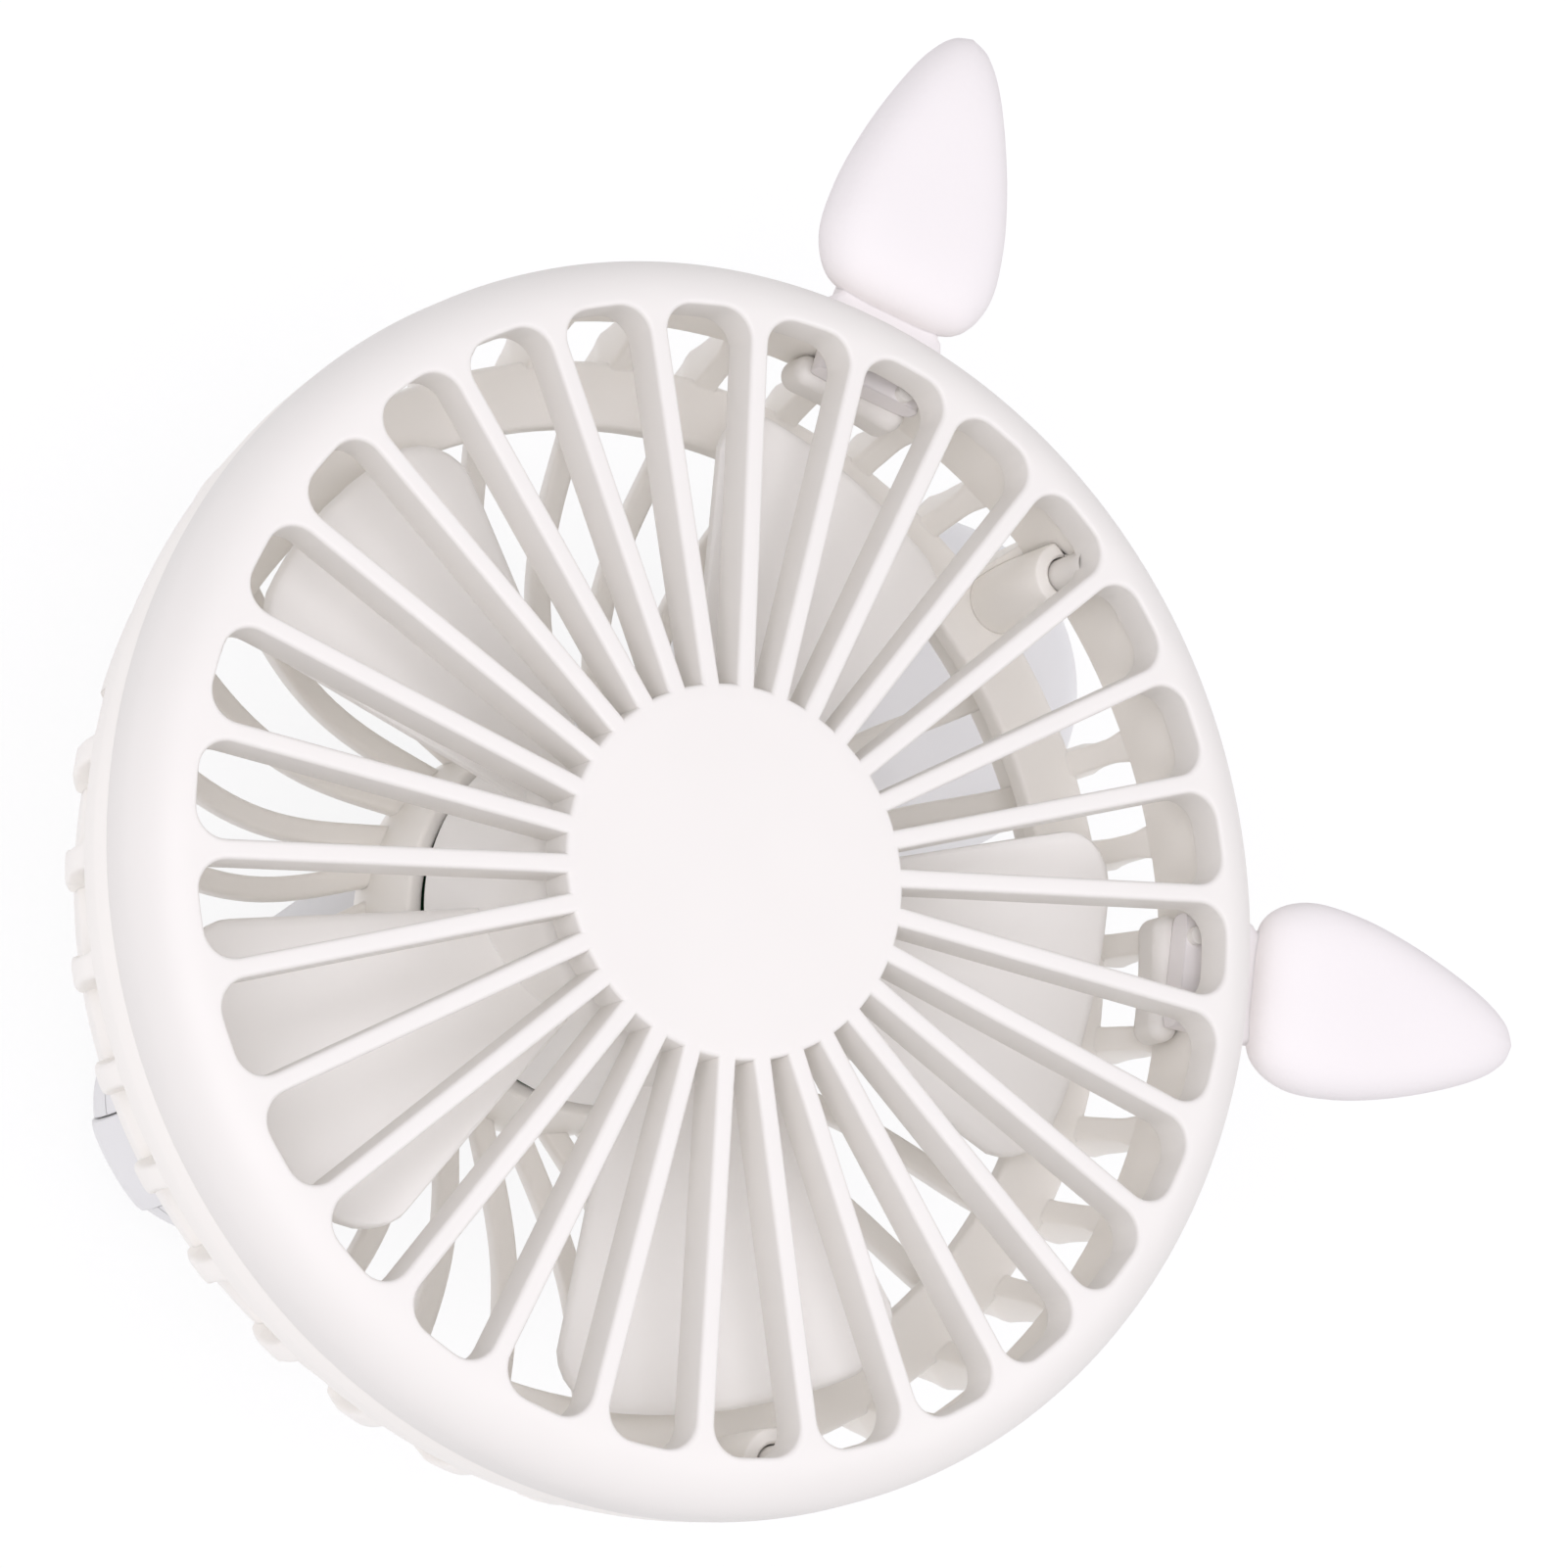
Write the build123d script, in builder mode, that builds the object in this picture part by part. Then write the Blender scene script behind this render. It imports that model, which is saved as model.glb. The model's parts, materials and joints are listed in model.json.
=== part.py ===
from build123d import *
import math
import os

os.makedirs("parts", exist_ok=True)

# Rechargeable folding fan, lying on its folded handle. Millimetres, +Z along the fan's axis,
# +Y towards the ears, origin where the axis meets the handle's back face.

# Front cover
CAP_HEIGHT = 66.5
CAP_RADIUS = 15.7
RIM_RADIUS = 52.7
RIM_ROUND = 5.0
RIM_DROP = 0.6
RIM_DRAFT = 0.1
PARTING_DEPTH = 8.0
PLATE_DEPTH = 4.3
SLOT_RADIUS = 48.0
SLOT_CORNER = 2.5
RIB_COUNT = 30
RIB_WIDTH = 1.65
FRONT_WALL_RADIUS = 50.5

# Rear basket: wall, fins, ring with its skirt, swirl ribs and motor cup
BAND_RADIUS = 51.9
BAND_EDGE = 52.2
INNER_RADIUS = 49.6
LIP_RADIUS = 50.3
LIP_HEIGHT = 1.9
FIN_COUNT = 36
FIN_WIDTH = 2.3
FIN_START = 8.0
FIN_TOP = 53.5
FIN_ARC = ((51.5, 51.0), (50.8, 46.1), (48.3, 40.4))
FIN_CLEARANCE = 10.0
RING_FRONT = 46.8
RING_INNER = 41.84
RING_THICKNESS = 2.3
SKIRT_TOP_RADIUS = 47.6
SKIRT_BULGE = (48.1, 42.0)
SKIRT_BOTTOM = (46.7, 37.8)
SKIRT_WALL = 1.7
SWIRL_COUNT = 30
SWIRL_WIDTH = 2.1
SWIRL_DEPTH = 1.8
SWIRL_INNER = 16.4
SWIRL_OUTER = 46.2
CUP_RADIUS = 17.3
CUP_RIM_RADIUS = 16.6
CUP_WALL = 1.4
CUP_BOTTOM = 28.0
CUP_CHAMFER = 1.0
CUP_FLOOR = 1.6
CUP_RIM = 38.6
BOARD_POST_HEIGHT = 1.6
BOARD_POST_RADIUS = 1.5
BOARD_POST_CIRCLE = 11.4

# Cover screws
SCREW_ANGLES = (97, 217, 337)
SCREW_CIRCLE = 48.2
BOSS_RADIUS = 3.0
BOSS_OUTER = 49.3
BOSS_DROP = 0.6
POST_RADIUS = 1.5
POST_PLAY = 0.15
POST_BOTTOM = 51.2
SCREW_RADIUS = 0.85
SCREW_HEAD_RADIUS = 1.3
SCREW_HEAD_HEIGHT = 1.0
SCREW_PLAY = 0.1
RECESS_PLAY = 0.2
SCREW_SEAT = 46.0
SCREW_TIP = 57.0
WEB_ANGLE = 8.4

# Ears
EAR_ANGLES = {"right": 53.0, "left": 127.0}
EAR_BASE = 54.7
EAR_OUTLINE = ((EAR_BASE, 4.1), (56.2, 6.9), (60.0, 8.4), (70.2, 6.35), (79.65, 2.03), (81.0, 0.0))
EAR_CENTER = 65.0
EAR_MIDDLE = 59.5
EAR_THICKNESS = 7.0
EAR_SECTIONS = ((-1, 0.7), (-0.8, 0.88), (-0.4, 0.98), (0, 1), (0.4, 0.98), (0.8, 0.88), (1, 0.7))
TONGUE_HALF_WIDTH = 5.1
TONGUE_LOW = 57.0
TONGUE_HIGH = 59.6
TONGUE_INNER = 47.6
TONGUE_OVERLAP = 2.0
PEG_RADIUS = 0.8
PEG_PLAY = 0.05
PEG_SPACING = 6.6
PEG_CIRCLE = 48.6
CLIP_CIRCLE = 48.1
CLIP_WIDTH = 2.8
CLIP_ANGLE = 10.0
CLIP_LOW = 52.8
CLIP_ROUND = 1.2

# Impeller: each blade section holds its distance, the height of its middle and its rise
BLADE_COUNT = 5
BLADE_START = 49.0
BLADE_SPAN = 42.0
BLADE_TIP = 43.2
BLADE_ROOT = 15.2
BLADE_CORNER = 5.0
BLADE_THICKNESS = 1.5
BLADE_SAG = 0.9
BLADE_SECTIONS = ((13.2, 53.0, 2.86), (45.2, 52.7, 4.0))
HUB_REAR_RADIUS = 16.2
HUB_FRONT_RADIUS = 15.6
HUB_REAR = 39.8
HUB_FRONT = 60.5
HUB_ROUND = 3.0
HUB_WALL = 1.5
HUB_CAVITY = 13.0
HUB_BOSS = 3.5

# Motor
SHAFT_RADIUS = 1.0
SHAFT_PLAY = 0.03
SHAFT_BOTTOM = 29.9
SHAFT_COVER = 0.5
CLIP_RING_OFFSET = 0.3
CLIP_RING_THICKNESS = 0.5
TUBE_RADIUS = 3.5
TUBE_BORE = 2.5
TUBE_TOP = 51.0
TUBE_FLANGE = 6.0
TUBE_SHOULDER = 0.8
FLANGE_THICKNESS = 1.0
BEARING_LENGTH = 4.0
BEARING_GAP = 0.3
YOKE_RADIUS = 14.2
YOKE_WALL = 0.8
YOKE_BOTTOM = 40.4
YOKE_TOP = 52.4
MAGNET_THICKNESS = 1.3
MAGNET_LOW = 41.0
MAGNET_HIGH = 50.6
STATOR_RADIUS = 11.6
STATOR_LOW = 42.4
STATOR_HIGH = 49.2
TOOTH_COUNT = 9
TOOTH_WIDTH = 2.2
TOOTH_SHOE = 1.2
STATOR_CORE_RADIUS = 5.6
COIL_BUILD = 0.9
COIL_INNER = 6.6
COIL_GAP = 0.2
BOARD_RADIUS = 14.7
BOARD_HOLE = 6.4
BOARD_THICKNESS = 1.2

# Handle: a tapered capsule with a forked end
HANDLE_THICKNESS = 22.0
KNUCKLE_RADIUS = 11.0
END_RADIUS = 16.2
END_Y = 57.4
HANDLE_EDGE = 6.0
HANDLE_WALL = 1.8
CAVITY_LOW_Y = -12.0
CAVITY_CORNER = 5.0

# Hinge: the basket's lug stands in the handle's fork
PIVOT_Y = -26.2
PIVOT_Z = HANDLE_THICKNESS / 2
KNUCKLE_SWEEP = 11.4
LUG_HALF_WIDTH = 4.0
LUG_RADIUS = 10.4
STEM_HALF_WIDTH = 7.0
STEM_TOP = 33.9
ARM_TOP = 30.6
ARM_FOOT = (-11.0, 26.0)
FORK_HALF_WIDTH = 4.55
FORK_CLEARANCE = 0.6
PIN_RADIUS = 2.0
PIN_PLAY = 0.05
PIN_HALF_LENGTH = 8.5
PIN_END_PLAY = 0.1
WASHER_RADIUS = 5.0
WASHER_THICKNESS = 0.5

# Inside the handle
PCB_Z = 5.2
PCB_THICKNESS = 1.2
PCB_HALF_WIDTH = 8.5
PCB_LOW_Y = -4.0
PCB_HIGH_Y = 60.0
PCB_TONGUE_WIDTH = 10.0
PCB_TONGUE_END = 70.4
PCB_POSTS = ((-6.5, -1.5), (6.5, -1.5), (-7.0, 56.0), (7.0, 56.0))
PCB_POST_RADIUS = 1.6
CELL_WIDTH = 18.0
CELL_LOW_Y = 2.0
CELL_HIGH_Y = 54.0
CELL_THICKNESS = 8.3
CELL_CORNER = 2.0
CELL_ROUND = 2.5
TAB_X = 5.5
TAB_WIDTH = 4.0
TAB_REACH = 1.0
TAB_THICKNESS = 0.3
BUTTON_Y = 12.0
BUTTON_RADIUS = 5.5
BUTTON_GAP = 0.3
BUTTON_SINK = 0.4
BUTTON_ROUND = 0.5
BUTTON_FLANGE = 6.9
FLANGE_GAP = 0.1
FLANGE_DEPTH = 0.8
SWITCH_SIZE = 6.0
SWITCH_HEIGHT = 1.2
PLUNGER_RADIUS = 1.7
PLUNGER_REACH = 1.6
LED_Y = 27.0
LED_RADIUS = 1.3
LED_SINK = 0.2
SOCKET_WIDTH = 8.9
SOCKET_HEIGHT = 3.2
SOCKET_DEPTH = 8.2
SOCKET_SINK = 1.0
SOCKET_PLAY = 0.4
SOCKET_SHEET = 0.3
SOCKET_BACK = 1.0
SOCKET_TONGUE = (6.7, 0.7)
TONGUE_SINK = 0.6
HANDLE_SCREWS = ((-6.5, -7.5), (6.5, -7.5), (-9.0, 63.5), (9.0, 63.5))
HANDLE_BOSS = 2.7
HANDLE_SCREW_HEAD = 1.9
HANDLE_SCREW_HEAD_HEIGHT = 1.4
HANDLE_SCREW_SHANK = 0.9
HANDLE_SCREW_REACH = 6.0
HANDLE_SCREW_FLOOR = 0.8

# Heights and places that follow from the sizes above; ROOT is how far one form sinks in another
ROOT = 0.5
parting = CAP_HEIGHT - PARTING_DEPTH
round_center = (RIM_RADIUS - RIM_DRAFT - RIM_ROUND, CAP_HEIGHT - RIM_DROP - RIM_ROUND)
slot_top = round_center[1] + math.sqrt(RIM_ROUND**2 - (SLOT_RADIUS - round_center[0]) ** 2)
plate_under = slot_top - PLATE_DEPTH
cup_floor_top = CUP_BOTTOM + CUP_FLOOR
handle_floor = HANDLE_WALL
handle_ceiling = HANDLE_THICKNESS - HANDLE_WALL
handle_top = END_Y + END_RADIUS
shaft_top = HUB_FRONT - SHAFT_COVER


def polar(radius, angle):
    """A point of the XY plane at a radius and an angle in degrees."""
    return (radius * math.cos(math.radians(angle)), radius * math.sin(math.radians(angle)))


def radial_plane(angle):
    """The upright plane through the axis at an angle: local x is the radius and local y is Z."""
    out_x, out_y = polar(1, angle)
    return Plane(origin=(0, 0, 0), x_dir=(out_x, out_y, 0), z_dir=(out_y, -out_x, 0))


def ear_plane(angle, height):
    """A level plane whose local x points along an ear."""
    return Plane(origin=(0, 0, height), x_dir=(*polar(1, angle), 0), z_dir=(0, 0, 1))


screw_places = [polar(SCREW_CIRCLE, angle) for angle in SCREW_ANGLES]

# Front grille: a revolved dish with rim and plate, cut by slots that leave parallel-sided ribs
half_pitch = math.radians(180 / RIB_COUNT)


def slot_corner(radius):
    """The corner of a slot at a radius, on the side of the rib that bounds it."""
    along = math.sqrt(radius**2 - (RIB_WIDTH / 2) ** 2)
    across = RIB_WIDTH / 2
    return (
        along * math.cos(half_pitch) + across * math.sin(half_pitch),
        along * math.sin(half_pitch) - across * math.cos(half_pitch),
    )


inner_x, inner_y = slot_corner(CAP_RADIUS)
outer_x, outer_y = slot_corner(SLOT_RADIUS)
with BuildSketch() as one_slot:
    with BuildLine():
        Line((inner_x, -inner_y), (outer_x, -outer_y))
        ThreePointArc((outer_x, -outer_y), (SLOT_RADIUS, 0), (outer_x, outer_y))
        Line((outer_x, outer_y), (inner_x, inner_y))
        ThreePointArc((inner_x, inner_y), (CAP_RADIUS, 0), (inner_x, -inner_y))
    make_face()
    fillet(one_slot.vertices().sort_by(Axis.X)[-2:], SLOT_CORNER)

with BuildPart() as front_grille:
    with BuildSketch(Plane.XZ):
        with BuildLine():
            diagonal = RIM_ROUND * math.sqrt(0.5)
            round_end = (round_center[0] + RIM_ROUND, round_center[1])
            Polyline((0, CAP_HEIGHT), (CAP_RADIUS, CAP_HEIGHT), (SLOT_RADIUS, slot_top))
            ThreePointArc(
                (SLOT_RADIUS, slot_top),
                (round_center[0] + diagonal, round_center[1] + diagonal),
                round_end,
            )
            Polyline(
                round_end,
                (RIM_RADIUS, parting),
                (FRONT_WALL_RADIUS, parting),
                (FRONT_WALL_RADIUS, plate_under),
                (CAP_RADIUS, CAP_HEIGHT - PLATE_DEPTH),
                (0, CAP_HEIGHT - PLATE_DEPTH),
                (0, CAP_HEIGHT),
            )
        make_face()
    revolve(axis=Axis.Z)
    with BuildSketch(Plane.XY.offset(plate_under - ROOT)):
        with PolarLocations(0, RIB_COUNT, start_angle=180 / RIB_COUNT):
            add(one_slot.sketch)
    extrude(amount=CAP_HEIGHT - plate_under + 2 * ROOT, mode=Mode.SUBTRACT)
    with BuildSketch(Plane.XY.offset(POST_BOTTOM)):
        with Locations(*screw_places):
            Circle(POST_RADIUS)
    extrude(amount=plate_under + ROOT - POST_BOTTOM)
    with BuildSketch(Plane.XY.offset(POST_BOTTOM)):
        with Locations(*screw_places):
            Circle(SCREW_RADIUS)
    extrude(amount=SCREW_TIP - POST_BOTTOM + ROOT, mode=Mode.SUBTRACT)
    for angle in EAR_ANGLES.values():
        with BuildSketch(ear_plane(angle, parting)):
            with Locations((RIM_RADIUS, 0)):
                Rectangle(2 * (RIM_RADIUS - INNER_RADIUS), 2 * TONGUE_HALF_WIDTH)
        extrude(amount=TONGUE_HIGH - parting, mode=Mode.SUBTRACT)
front_grille.part.label = "front_grille"
export_step(front_grille.part, "parts/front_grille.step")


# Swirl ribs of the rear basket: curved strips in plan, trimmed to a shallow dish
def swirl_step(radius):
    """The distance of a radius from the middle of a swirl rib, in units of its half length."""
    return (radius - 31.0) / 10.5


def swirl_angle(radius):
    """The azimuth of a swirl rib's middle line: it bends back towards the cup."""
    step = swirl_step(radius)
    return 6.6 + 0.56 * step - 3.77 * step**2 + 1.63 * step**3


def swirl_front(radius):
    """The height of the swirl ribs' front edges: a dish that rises towards the skirt."""
    step = swirl_step(radius)
    return 34.31 + 3.11 * step + 0.71 * step**2


STRIP_POINTS = 7
strip_radii = [
    SWIRL_INNER + (SWIRL_OUTER - SWIRL_INNER) * number / (STRIP_POINTS - 1)
    for number in range(STRIP_POINTS)
]
with BuildSketch() as one_strip:
    with BuildLine():
        sides = []
        for side in (-1, 1):
            points = [
                polar(radius, swirl_angle(radius) + side * math.degrees(SWIRL_WIDTH / 2 / radius))
                for radius in strip_radii
            ]
            sides.append(Spline(*points))
        Line(sides[0] @ 0, sides[1] @ 0)
        Line(sides[0] @ 1, sides[1] @ 1)
    make_face()

with BuildPart() as swirl_ribs:
    with BuildSketch(Plane.XY.offset(CUP_BOTTOM)):
        with PolarLocations(0, SWIRL_COUNT):
            add(one_strip.sketch)
    extrude(amount=RING_FRONT - CUP_BOTTOM)
    with BuildSketch(Plane.XZ):
        with BuildLine():
            low = SWIRL_INNER - 1
            high = SWIRL_OUTER + 1
            middle = (low + high) / 2
            dish = [(radius, swirl_front(radius)) for radius in (low, middle, high)]
            front_arc = ThreePointArc(*dish)
            back_arc = ThreePointArc(*[(radius, height - SWIRL_DEPTH) for radius, height in dish])
            Line(front_arc @ 0, back_arc @ 0)
            Line(front_arc @ 1, back_arc @ 1)
        make_face()
    revolve(axis=Axis.Z, mode=Mode.INTERSECT)

# One fin of the basket: from the wall round the shoulder to the skirt
skirt_middle = (SKIRT_TOP_RADIUS - 1.0, RING_FRONT - RING_THICKNESS / 3)
with BuildSketch() as one_fin:
    with BuildLine():
        Line((FIN_ARC[0][0], FIN_TOP), FIN_ARC[0])
        ThreePointArc(*FIN_ARC)
        Polyline(
            FIN_ARC[2],
            (skirt_middle[0], FIN_ARC[2][1]),
            skirt_middle,
            (INNER_RADIUS + ROOT, FIN_TOP),
            (FIN_ARC[0][0], FIN_TOP),
        )
    make_face()

# The web that closes the shoulder at each screw, set back from the fins
with BuildSketch() as one_web:
    Polygon(
        (51.0, 53.2),
        (50.9, 50.8),
        (50.1, 46.2),
        (46.4, 41.0),
        (46.5, 45.0),
        (50.0, 53.2),
        align=None,
    )

# Rear cover: wall with a lip, finned shoulder, ring, swirl ribs, motor cup and hinge lug
fin_angles = [FIN_START + number * 360 / FIN_COUNT for number in range(FIN_COUNT)]
with BuildPart() as rear_cover:
    with BuildSketch(Plane.XZ):
        with BuildLine():
            Polyline(
                (INNER_RADIUS, BAND_EDGE),
                (INNER_RADIUS, parting + LIP_HEIGHT),
                (LIP_RADIUS, parting + LIP_HEIGHT),
                (LIP_RADIUS, parting),
                (RIM_RADIUS, parting),
            )
            bulge = ((RIM_RADIUS * 2 + BAND_RADIUS) / 3, (parting + BAND_EDGE) / 2)
            ThreePointArc((RIM_RADIUS, parting), bulge, (BAND_RADIUS, BAND_EDGE))
            Line((BAND_RADIUS, BAND_EDGE), (INNER_RADIUS, BAND_EDGE))
        make_face()
        Polygon(
            (RING_INNER, RING_FRONT),
            (SKIRT_TOP_RADIUS, RING_FRONT),
            SKIRT_BULGE,
            SKIRT_BOTTOM,
            (SKIRT_BOTTOM[0] - SKIRT_WALL, SKIRT_BOTTOM[1]),
            (SKIRT_TOP_RADIUS - SKIRT_WALL, RING_FRONT - RING_THICKNESS),
            (RING_INNER, RING_FRONT - RING_THICKNESS),
            align=None,
        )
        Polygon(
            (0, CUP_BOTTOM),
            (CUP_RADIUS - CUP_CHAMFER, CUP_BOTTOM),
            (CUP_RADIUS, CUP_BOTTOM + CUP_CHAMFER),
            (CUP_RIM_RADIUS, CUP_RIM),
            (CUP_RIM_RADIUS - CUP_WALL, CUP_RIM),
            (CUP_RADIUS - CUP_WALL, cup_floor_top),
            (0, cup_floor_top),
            align=None,
        )
    revolve(axis=Axis.Z)
    for angle in fin_angles:
        if min(abs(angle - screw_angle) for screw_angle in SCREW_ANGLES) > FIN_CLEARANCE:
            with BuildSketch(radial_plane(angle)):
                add(one_fin.sketch)
    extrude(amount=FIN_WIDTH / 2, both=True)
    add(swirl_ribs.part)
    for angle in SCREW_ANGLES:
        with BuildSketch(radial_plane(angle - WEB_ANGLE / 2)):
            add(one_web.sketch)
        revolve(axis=Axis.Z, revolution_arc=WEB_ANGLE)
    with BuildSketch(Plane.XY.offset(SCREW_SEAT)):
        with Locations(*screw_places):
            Circle(BOSS_RADIUS)
        Circle(BOSS_OUTER, mode=Mode.INTERSECT)
    extrude(amount=parting - BOSS_DROP - SCREW_SEAT)
    with BuildSketch(Plane.XY.offset(cup_floor_top)):
        with PolarLocations(BOARD_POST_CIRCLE, 3):
            Circle(BOARD_POST_RADIUS)
    extrude(amount=BOARD_POST_HEIGHT)
    with BuildSketch(Plane.YZ.offset(-LUG_HALF_WIDTH)):
        with Locations((PIVOT_Y, PIVOT_Z)):
            Circle(LUG_RADIUS)
        cup_middle = -(CUP_RADIUS - CUP_WALL / 2)
        floor_middle = CUP_BOTTOM + CUP_FLOOR / 2
        stem_far = PIVOT_Y - STEM_HALF_WIDTH
        stem_near = PIVOT_Y + STEM_HALF_WIDTH
        Polygon(
            (stem_far, PIVOT_Z),
            (stem_far, STEM_TOP),
            (cup_middle, ARM_TOP),
            (cup_middle, floor_middle),
            (ARM_FOOT[0], floor_middle),
            ARM_FOOT,
            (stem_near + 1, HANDLE_THICKNESS + 1),
            (stem_near, HANDLE_THICKNESS),
            (stem_near, PIVOT_Z),
            align=None,
        )
    extrude(amount=2 * LUG_HALF_WIDTH)
    with Locations((0, PIVOT_Y, PIVOT_Z)):
        Cylinder(PIN_RADIUS, 4 * LUG_HALF_WIDTH, rotation=(0, 90, 0), mode=Mode.SUBTRACT)
    with BuildSketch(Plane.XY.offset(POST_BOTTOM - RECESS_PLAY)):
        with Locations(*screw_places):
            Circle(POST_RADIUS + POST_PLAY)
    extrude(amount=parting + LIP_HEIGHT + 1 - POST_BOTTOM, mode=Mode.SUBTRACT)
    with BuildSketch(Plane.XY.offset(SCREW_SEAT)):
        with Locations(*screw_places):
            Circle(SCREW_RADIUS + SCREW_PLAY)
    extrude(amount=POST_BOTTOM - SCREW_SEAT, mode=Mode.SUBTRACT)
    with BuildSketch(Plane.XY.offset(SCREW_SEAT)):
        with Locations(*screw_places):
            Circle(SCREW_HEAD_RADIUS + RECESS_PLAY)
    extrude(amount=SKIRT_BOTTOM[1] - SCREW_SEAT - 1, mode=Mode.SUBTRACT)
    for angle in EAR_ANGLES.values():
        with BuildSketch(ear_plane(angle, TONGUE_LOW)):
            with Locations((RIM_RADIUS, 0)):
                Rectangle(2 * (RIM_RADIUS - INNER_RADIUS + 1), 2 * TONGUE_HALF_WIDTH)
        extrude(amount=parting + LIP_HEIGHT - TONGUE_LOW, mode=Mode.SUBTRACT)
rear_cover.part.label = "rear_cover"
export_step(rear_cover.part, "parts/rear_cover.step")

# Screws that join the covers: pan heads under the basket, shanks in the front cover's posts
with BuildPart() as cover_screws:
    with BuildSketch(Plane.XY.offset(SCREW_SEAT)):
        with Locations(*screw_places):
            Circle(SCREW_RADIUS)
    extrude(amount=SCREW_TIP - SCREW_SEAT)
    with BuildSketch(Plane.XY.offset(SCREW_SEAT)):
        with Locations(*screw_places):
            Circle(SCREW_HEAD_RADIUS)
    extrude(amount=-SCREW_HEAD_HEIGHT)
cover_screws.part.label = "cover_screws"
export_step(cover_screws.part, "parts/cover_screws.step")

# Ears: soft rounded leaves with a flat tongue through the rim, held on the pegs of a curved clip
peg_places = [(PEG_CIRCLE, side * PEG_SPACING / 2) for side in (-1, 1)]
for side_name, angle in EAR_ANGLES.items():
    with BuildPart() as ear:
        for level, scale_here in EAR_SECTIONS:
            with BuildSketch(ear_plane(angle, EAR_MIDDLE + level * EAR_THICKNESS / 2)):
                with BuildLine():
                    base, cheek, widest, flank, tip_side, tip = [
                        (EAR_CENTER + (along - EAR_CENTER) * scale_here, across * scale_here)
                        for along, across in EAR_OUTLINE
                    ]
                    left_half = [
                        ThreePointArc(base, cheek, widest),
                        ThreePointArc(widest, flank, tip_side),
                    ]
                    mirror(left_half, about=Plane.XZ)
                    ThreePointArc(tip_side, tip, (tip_side[0], -tip_side[1]))
                    Line(base, (base[0], -base[1]))
                make_face()
        loft()
        with BuildSketch(ear_plane(angle, TONGUE_LOW)):
            tongue_end = EAR_BASE + TONGUE_OVERLAP
            with Locations(((TONGUE_INNER + tongue_end) / 2, 0)):
                Rectangle(tongue_end - TONGUE_INNER, 2 * TONGUE_HALF_WIDTH)
            with Locations(*peg_places):
                Circle(PEG_RADIUS + PEG_PLAY, mode=Mode.SUBTRACT)
        extrude(amount=TONGUE_HIGH - TONGUE_LOW)
    ear.part.label = f"ear_{side_name}"
    export_step(ear.part, f"parts/ear_{side_name}.step")

    with BuildPart() as ear_clip:
        with BuildSketch(Plane.XY.offset(CLIP_LOW)):
            clip_from = angle - CLIP_ANGLE / 2
            SlotArc(
                Edge.make_circle(CLIP_CIRCLE, start_angle=clip_from, end_angle=clip_from + CLIP_ANGLE),
                CLIP_WIDTH,
            )
        extrude(amount=TONGUE_LOW - CLIP_LOW)
        clip_faces = ear_clip.faces().sort_by(Axis.Z)
        fillet(clip_faces[0].edges() + clip_faces[-1].edges(), CLIP_ROUND)
        with BuildSketch(ear_plane(angle, TONGUE_LOW - CLIP_ROUND)):
            with Locations(*peg_places):
                Circle(PEG_RADIUS)
        extrude(amount=TONGUE_HIGH + PEG_RADIUS - TONGUE_LOW + CLIP_ROUND)
    ear_clip.part.label = f"ear_clip_{side_name}"
    export_step(ear_clip.part, f"parts/ear_clip_{side_name}.step")

# One blade along +X: a twisted, cambered sheet trimmed to a sector with round corners
blade_half = BLADE_SPAN / 2
with BuildPart() as one_blade:
    for distance, middle_z, rise in BLADE_SECTIONS:
        reach = distance * math.tan(math.radians(blade_half))
        with BuildSketch(Plane.YZ.offset(distance)):
            with BuildLine():
                under, over = [
                    ThreePointArc(
                        (-reach, middle_z - rise + lift),
                        (0, middle_z - BLADE_SAG + lift),
                        (reach, middle_z + rise + lift),
                    )
                    for lift in (-BLADE_THICKNESS / 2, BLADE_THICKNESS / 2)
                ]
                Line(under @ 0, over @ 0)
                Line(under @ 1, over @ 1)
            make_face()
    loft()
    with BuildSketch(Plane.XY.offset(HUB_REAR)) as blade_plan:
        with BuildLine():
            Line(polar(BLADE_ROOT, -blade_half), polar(BLADE_TIP, -blade_half))
            ThreePointArc(polar(BLADE_TIP, -blade_half), (BLADE_TIP, 0), polar(BLADE_TIP, blade_half))
            Line(polar(BLADE_TIP, blade_half), polar(BLADE_ROOT, blade_half))
            ThreePointArc(polar(BLADE_ROOT, blade_half), (BLADE_ROOT, 0), polar(BLADE_ROOT, -blade_half))
        make_face()
        far_corners = blade_plan.vertices().sort_by_distance((0, 0))[-2:]
        fillet(far_corners, BLADE_CORNER)
    extrude(amount=HUB_FRONT - HUB_REAR, mode=Mode.INTERSECT)

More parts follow.
